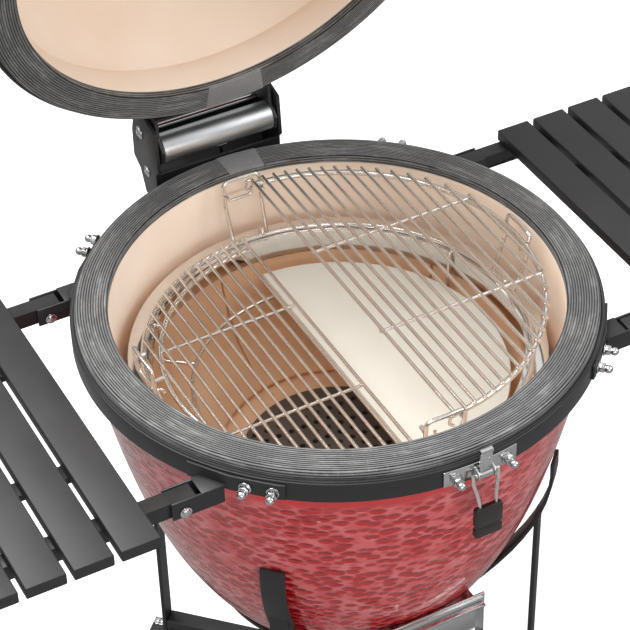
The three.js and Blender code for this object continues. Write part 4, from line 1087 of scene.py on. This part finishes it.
to_dial = facing_along(dial_point(0), dial_point(1) - dial_point(0))
case = turned(rounded([(0.01, 1.5), (32, 1.5), (32, 14), (28, 14), (28, 9), (0.01, 9)], 1.2, 3), 64)
stem = turned([(0, -70), (4, -70), (5, -69), (5, 3), (0, 3)], 24)
hung(moved(joined(case, stem), to_dial), "dial_case", NUT, "thermometer_body")


def dial_card():
    shape = bmesh.new()
    around = shape.loops.layers.uv.new("around")
    for i in range(96):
        a, b = 2 * pi * i / 96, 2 * pi * (i + 1) / 96
        ring = [(27.6, a), (27.6, b), (2, b), (2, a)]
        face = shape.faces.new([shape.verts.new((r * cos(t), r * sin(t), 9.1)) for r, t in ring])
        for loop, (r, t) in zip(face.loops, ring):
            loop[around].uv = (t / (2 * pi), r / 28)
    bmesh.ops.remove_doubles(shape, verts=shape.verts, dist=1e-3)
    return moved(shape, to_dial)


beside(dial_card(), "dial_card", DIAL, "thermometer_body")
softened("dial_needle", "thermometer_needle", BLACK, 0.2)

VENT_TOP = LID_HEIGHT + 0.3
collar = turned(rounded([(48, VENT_TOP - WALL), (58, VENT_TOP - WALL), (58, VENT_TOP), (84, VENT_TOP),
                         (84, VENT_TOP + 8), (48, VENT_TOP + 8)], 1.6, 3), 96)
bridge = eased(block(-50, 50, -6, 6, VENT_TOP, VENT_TOP + 7), 1.5)
hub = round_bar((0, 0, VENT_TOP + 2), (0, 0, VENT_TOP + 20), 5)
lugs = [eased(upright(rounded(corners(70, 84, VENT_TOP + 6, VENT_TOP + 36), 6, 4),
                      min(s * 14, s * 20), max(s * 14, s * 20), "x"), 1) for s in (-1, 1)]
vent_pin = round_bar((-20.5, 78, VENT_TOP + 30), (20.5, 78, VENT_TOP + 30), 2.5)
screw_places = [(polar(76, a, VENT_TOP + 8), (0, 0, 1)) for a in (30, 150, 210, 270, 330)]
vent_screws = fittings(button_head(4.5, 2.6), screw_places, NUT)
hung(joined(collar, bridge, hub, *lugs, vent_pin, vent_screws), "vent_collar", CAST, "vent_base")


def damper():
    low = VENT_TOP + 8.3
    disc = turned(rounded(corners(5.3, 66, low, low + 5), 1, 2), 96)
    hole = turned(corners(0, 13, low - 3, low + 9), 40)
    holes = [(polar(28, a, 0), (0, 0, 1)) for a in (0, 90, 180, 270)]
    cut = drilled(disc, fittings(hole, holes, CAST, turn=0.0))
    shape = as_shape(cut)
    tab = eased(upright(rounded(corners(62, 80, -6, 6), 4, 4), low, low + 5, "z"), 1)
    return joined(shape, tab)


hung(damper(), "vent_damper", CAST, "vent_disc")
cap_low = VENT_TOP + 22
cap = turned(rounded([(0.01, cap_low + 16), (54, cap_low + 9), (63, cap_low), (66, cap_low),
                      (66, cap_low + 10), (56, cap_low + 18), (0.01, cap_low + 24)], 3, 4), 96)
cap_knob = turned(rounded([(0.01, cap_low + 20), (9, cap_low + 20), (8, cap_low + 26), (11, cap_low + 29),
                           (11, cap_low + 34), (0.01, cap_low + 34)], 2, 4), 48)
cap_tongue = eased(upright(rounded(corners(60, 82, cap_low + 2, cap_low + 14), 4, 4), -13, 13, "x"), 1)
hung(joined(cap, cap_knob, cap_tongue), "rain_cap", CAST, "vent_cap")

# ---- draught and ash drawer ----
softened("draught_frame", "draft_frame", SHEET, 0.6)
softened("ash_tray", "ash_drawer", SHEET, 0.4)
softened("draught_slide", "draft_door", SHEET, 0.6)

# ---- cart ----
ring_out = egg_radius(-BASE_DEPTH) + 4
foot_ring = rounded(corners(ring_out - 60, ring_out, -509.3, -503.3), 1.5, 3)
hung(turned(foot_ring, 120), "foot_ring", BLACK, "cart_ring")
softened("cross_bars", "cart_cross", BLACK, 1.5)
foot_z = floor_z + 95
for corner, at in (("front_right", -45), ("rear_right", 45), ("rear_left", 135), ("front_left", -135)):
    softened(f"{corner}_leg", f"cart_leg_{corner}", BLACK, 1.0)
    softened(f"{corner}_fork", f"caster_fork_{corner}", BLACK, 0.6)
    middle = Matrix.Translation(polar(290, at, 0))
    axle = floor_z + 38
    tread = rounded([(20, -13), (34, -12), (38, -9), (38, 9), (34, 12), (20, 13)], 3, 4)
    disc = rounded([(4.3, -14), (12, -14), (13, -9), (22, -8), (24, -12),
                    (24, 12), (22, 8), (13, 9), (12, 14), (4.3, 14)], 1, 2)
    across = Matrix.Translation((0, -22, axle)) @ Matrix.Rotation(pi / 2, 4, "Y")
    hung(moved(turned(tread, 72), middle @ across), f"{corner}_tyre", RUBBER, f"caster_wheel_{corner}")
    beside(moved(turned(disc, 48), middle @ across), f"{corner}_hub", HUB, f"caster_wheel_{corner}")
    plate_bolts = [((polar(290 + dx, at, 0)[0] - dy * sin(radians(at)),
                     polar(290 + dx, at, 0)[1] + dy * cos(radians(at)), foot_z + 5), (0, 0, 1))
                   for dx in (22, 29) for dy in (-22, 22)]
    beside(fittings(button_head(5, 3), plate_bolts, NUT), f"{corner}_foot_bolts", NUT,
           f"cart_leg_{corner}", "stainless")

# ---- stage, light and camera ----
low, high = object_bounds()
floor_mesh = bpy.data.meshes.new("floor")
floor_mesh.from_pydata([(x, y, low.z) for x, y in corners(-30, 30, -30, 30)], [], [(0, 1, 2, 3)])
floor = placed("floor", floor_mesh)
pale, pale_tree, pale_sockets = new_finish("pale floor", Roughness=0.9)
seen = add_node(pale_tree, "ShaderNodeLightPath").outputs["Is Camera Ray"]
floor_tone = mix(pale_tree, seen, (0.30, 0.30, 0.30, 1), (0.72, 0.72, 0.72, 1))
pale_tree.links.new(floor_tone, pale_sockets["Base Color"])
pale_sockets["Emission Color"].default_value = (1, 1, 1, 1)
pale_tree.links.new(times(pale_tree, seen, 0.6), pale_sockets["Emission Strength"])
floor_mesh.materials.append(pale)

world = bpy.data.worlds.new("studio")
world.use_nodes = True
sky_tree = world.node_tree
sky_place = add_node(sky_tree, "ShaderNodeTexCoord").outputs["Generated"]
height = add_node(sky_tree, "ShaderNodeSeparateXYZ", {0: sky_place})
sky = mix(sky_tree, remap(sky_tree, height.outputs["Z"], -0.05, 0.75), (0.22, 0.22, 0.22, 1), (1, 1, 1, 1))
sky_tree.links.new(sky, sky_tree.nodes["Background"].inputs["Color"])
sky_tree.nodes["Background"].inputs["Strength"].default_value = 0.95
bpy.context.scene.world = world


def softbox(name, place, aim, size, power):
    lamp = bpy.data.lights.new(name, "AREA")
    lamp.shape, lamp.size, lamp.size_y, lamp.energy = "RECTANGLE", size[0], size[1], power
    light = placed(name, lamp)
    light.location = place
    light.rotation_euler = (Vector(aim) - Vector(place)).to_track_quat("-Z", "Y").to_euler()


softbox("key", (-1.0, 0.7, 3.6), (0, -0.1, 0.8), (1.8, 1.8), 112)
softbox("fill", (2.4, -1.8, 2.8), (0, 0, 0.8), (1.4, 2.0), 30)
softbox("front_strip", (-0.6, -3.2, 1.6), (0, 0, 0.8), (2.4, 0.6), 26)

CAMERA_TURN = (-27.11, 39.96, -1.52)  # azimuth, elevation and roll, in degrees
CAMERA_AIM = (-49.65, -30.44, 0)  # in millimetres from the middle of the rim
CAMERA_AWAY = 2.96207  # in metres
SENSOR, IMAGE, FOCAL = 36, 630, 2219.32  # film in mm, then picture width and focal length in one unit
azimuth, elevation, roll = (radians(v) for v in CAMERA_TURN)
back = Vector((sin(azimuth) * cos(elevation), -cos(azimuth) * cos(elevation), sin(elevation)))
flat_right = Vector((cos(azimuth), sin(azimuth), 0))
flat_up = back.cross(flat_right)
right = flat_right * cos(roll) + flat_up * sin(roll)
up = flat_up * cos(roll) - flat_right * sin(roll)
aim = to_row @ Vector(CAMERA_AIM)
lens = bpy.data.cameras.new("camera")
lens.sensor_width = SENSOR
lens.lens = FOCAL / IMAGE * SENSOR
lens.shift_y = -1 / IMAGE
lens.clip_start, lens.clip_end = 0.05, 60
camera = placed("camera", lens)
turn = Matrix((right, up, back)).transposed().to_4x4()
camera.matrix_world = Matrix.Translation(aim + back * CAMERA_AWAY) @ turn
bpy.context.scene.camera = camera
bpy.context.scene.view_settings.view_transform = "Standard"
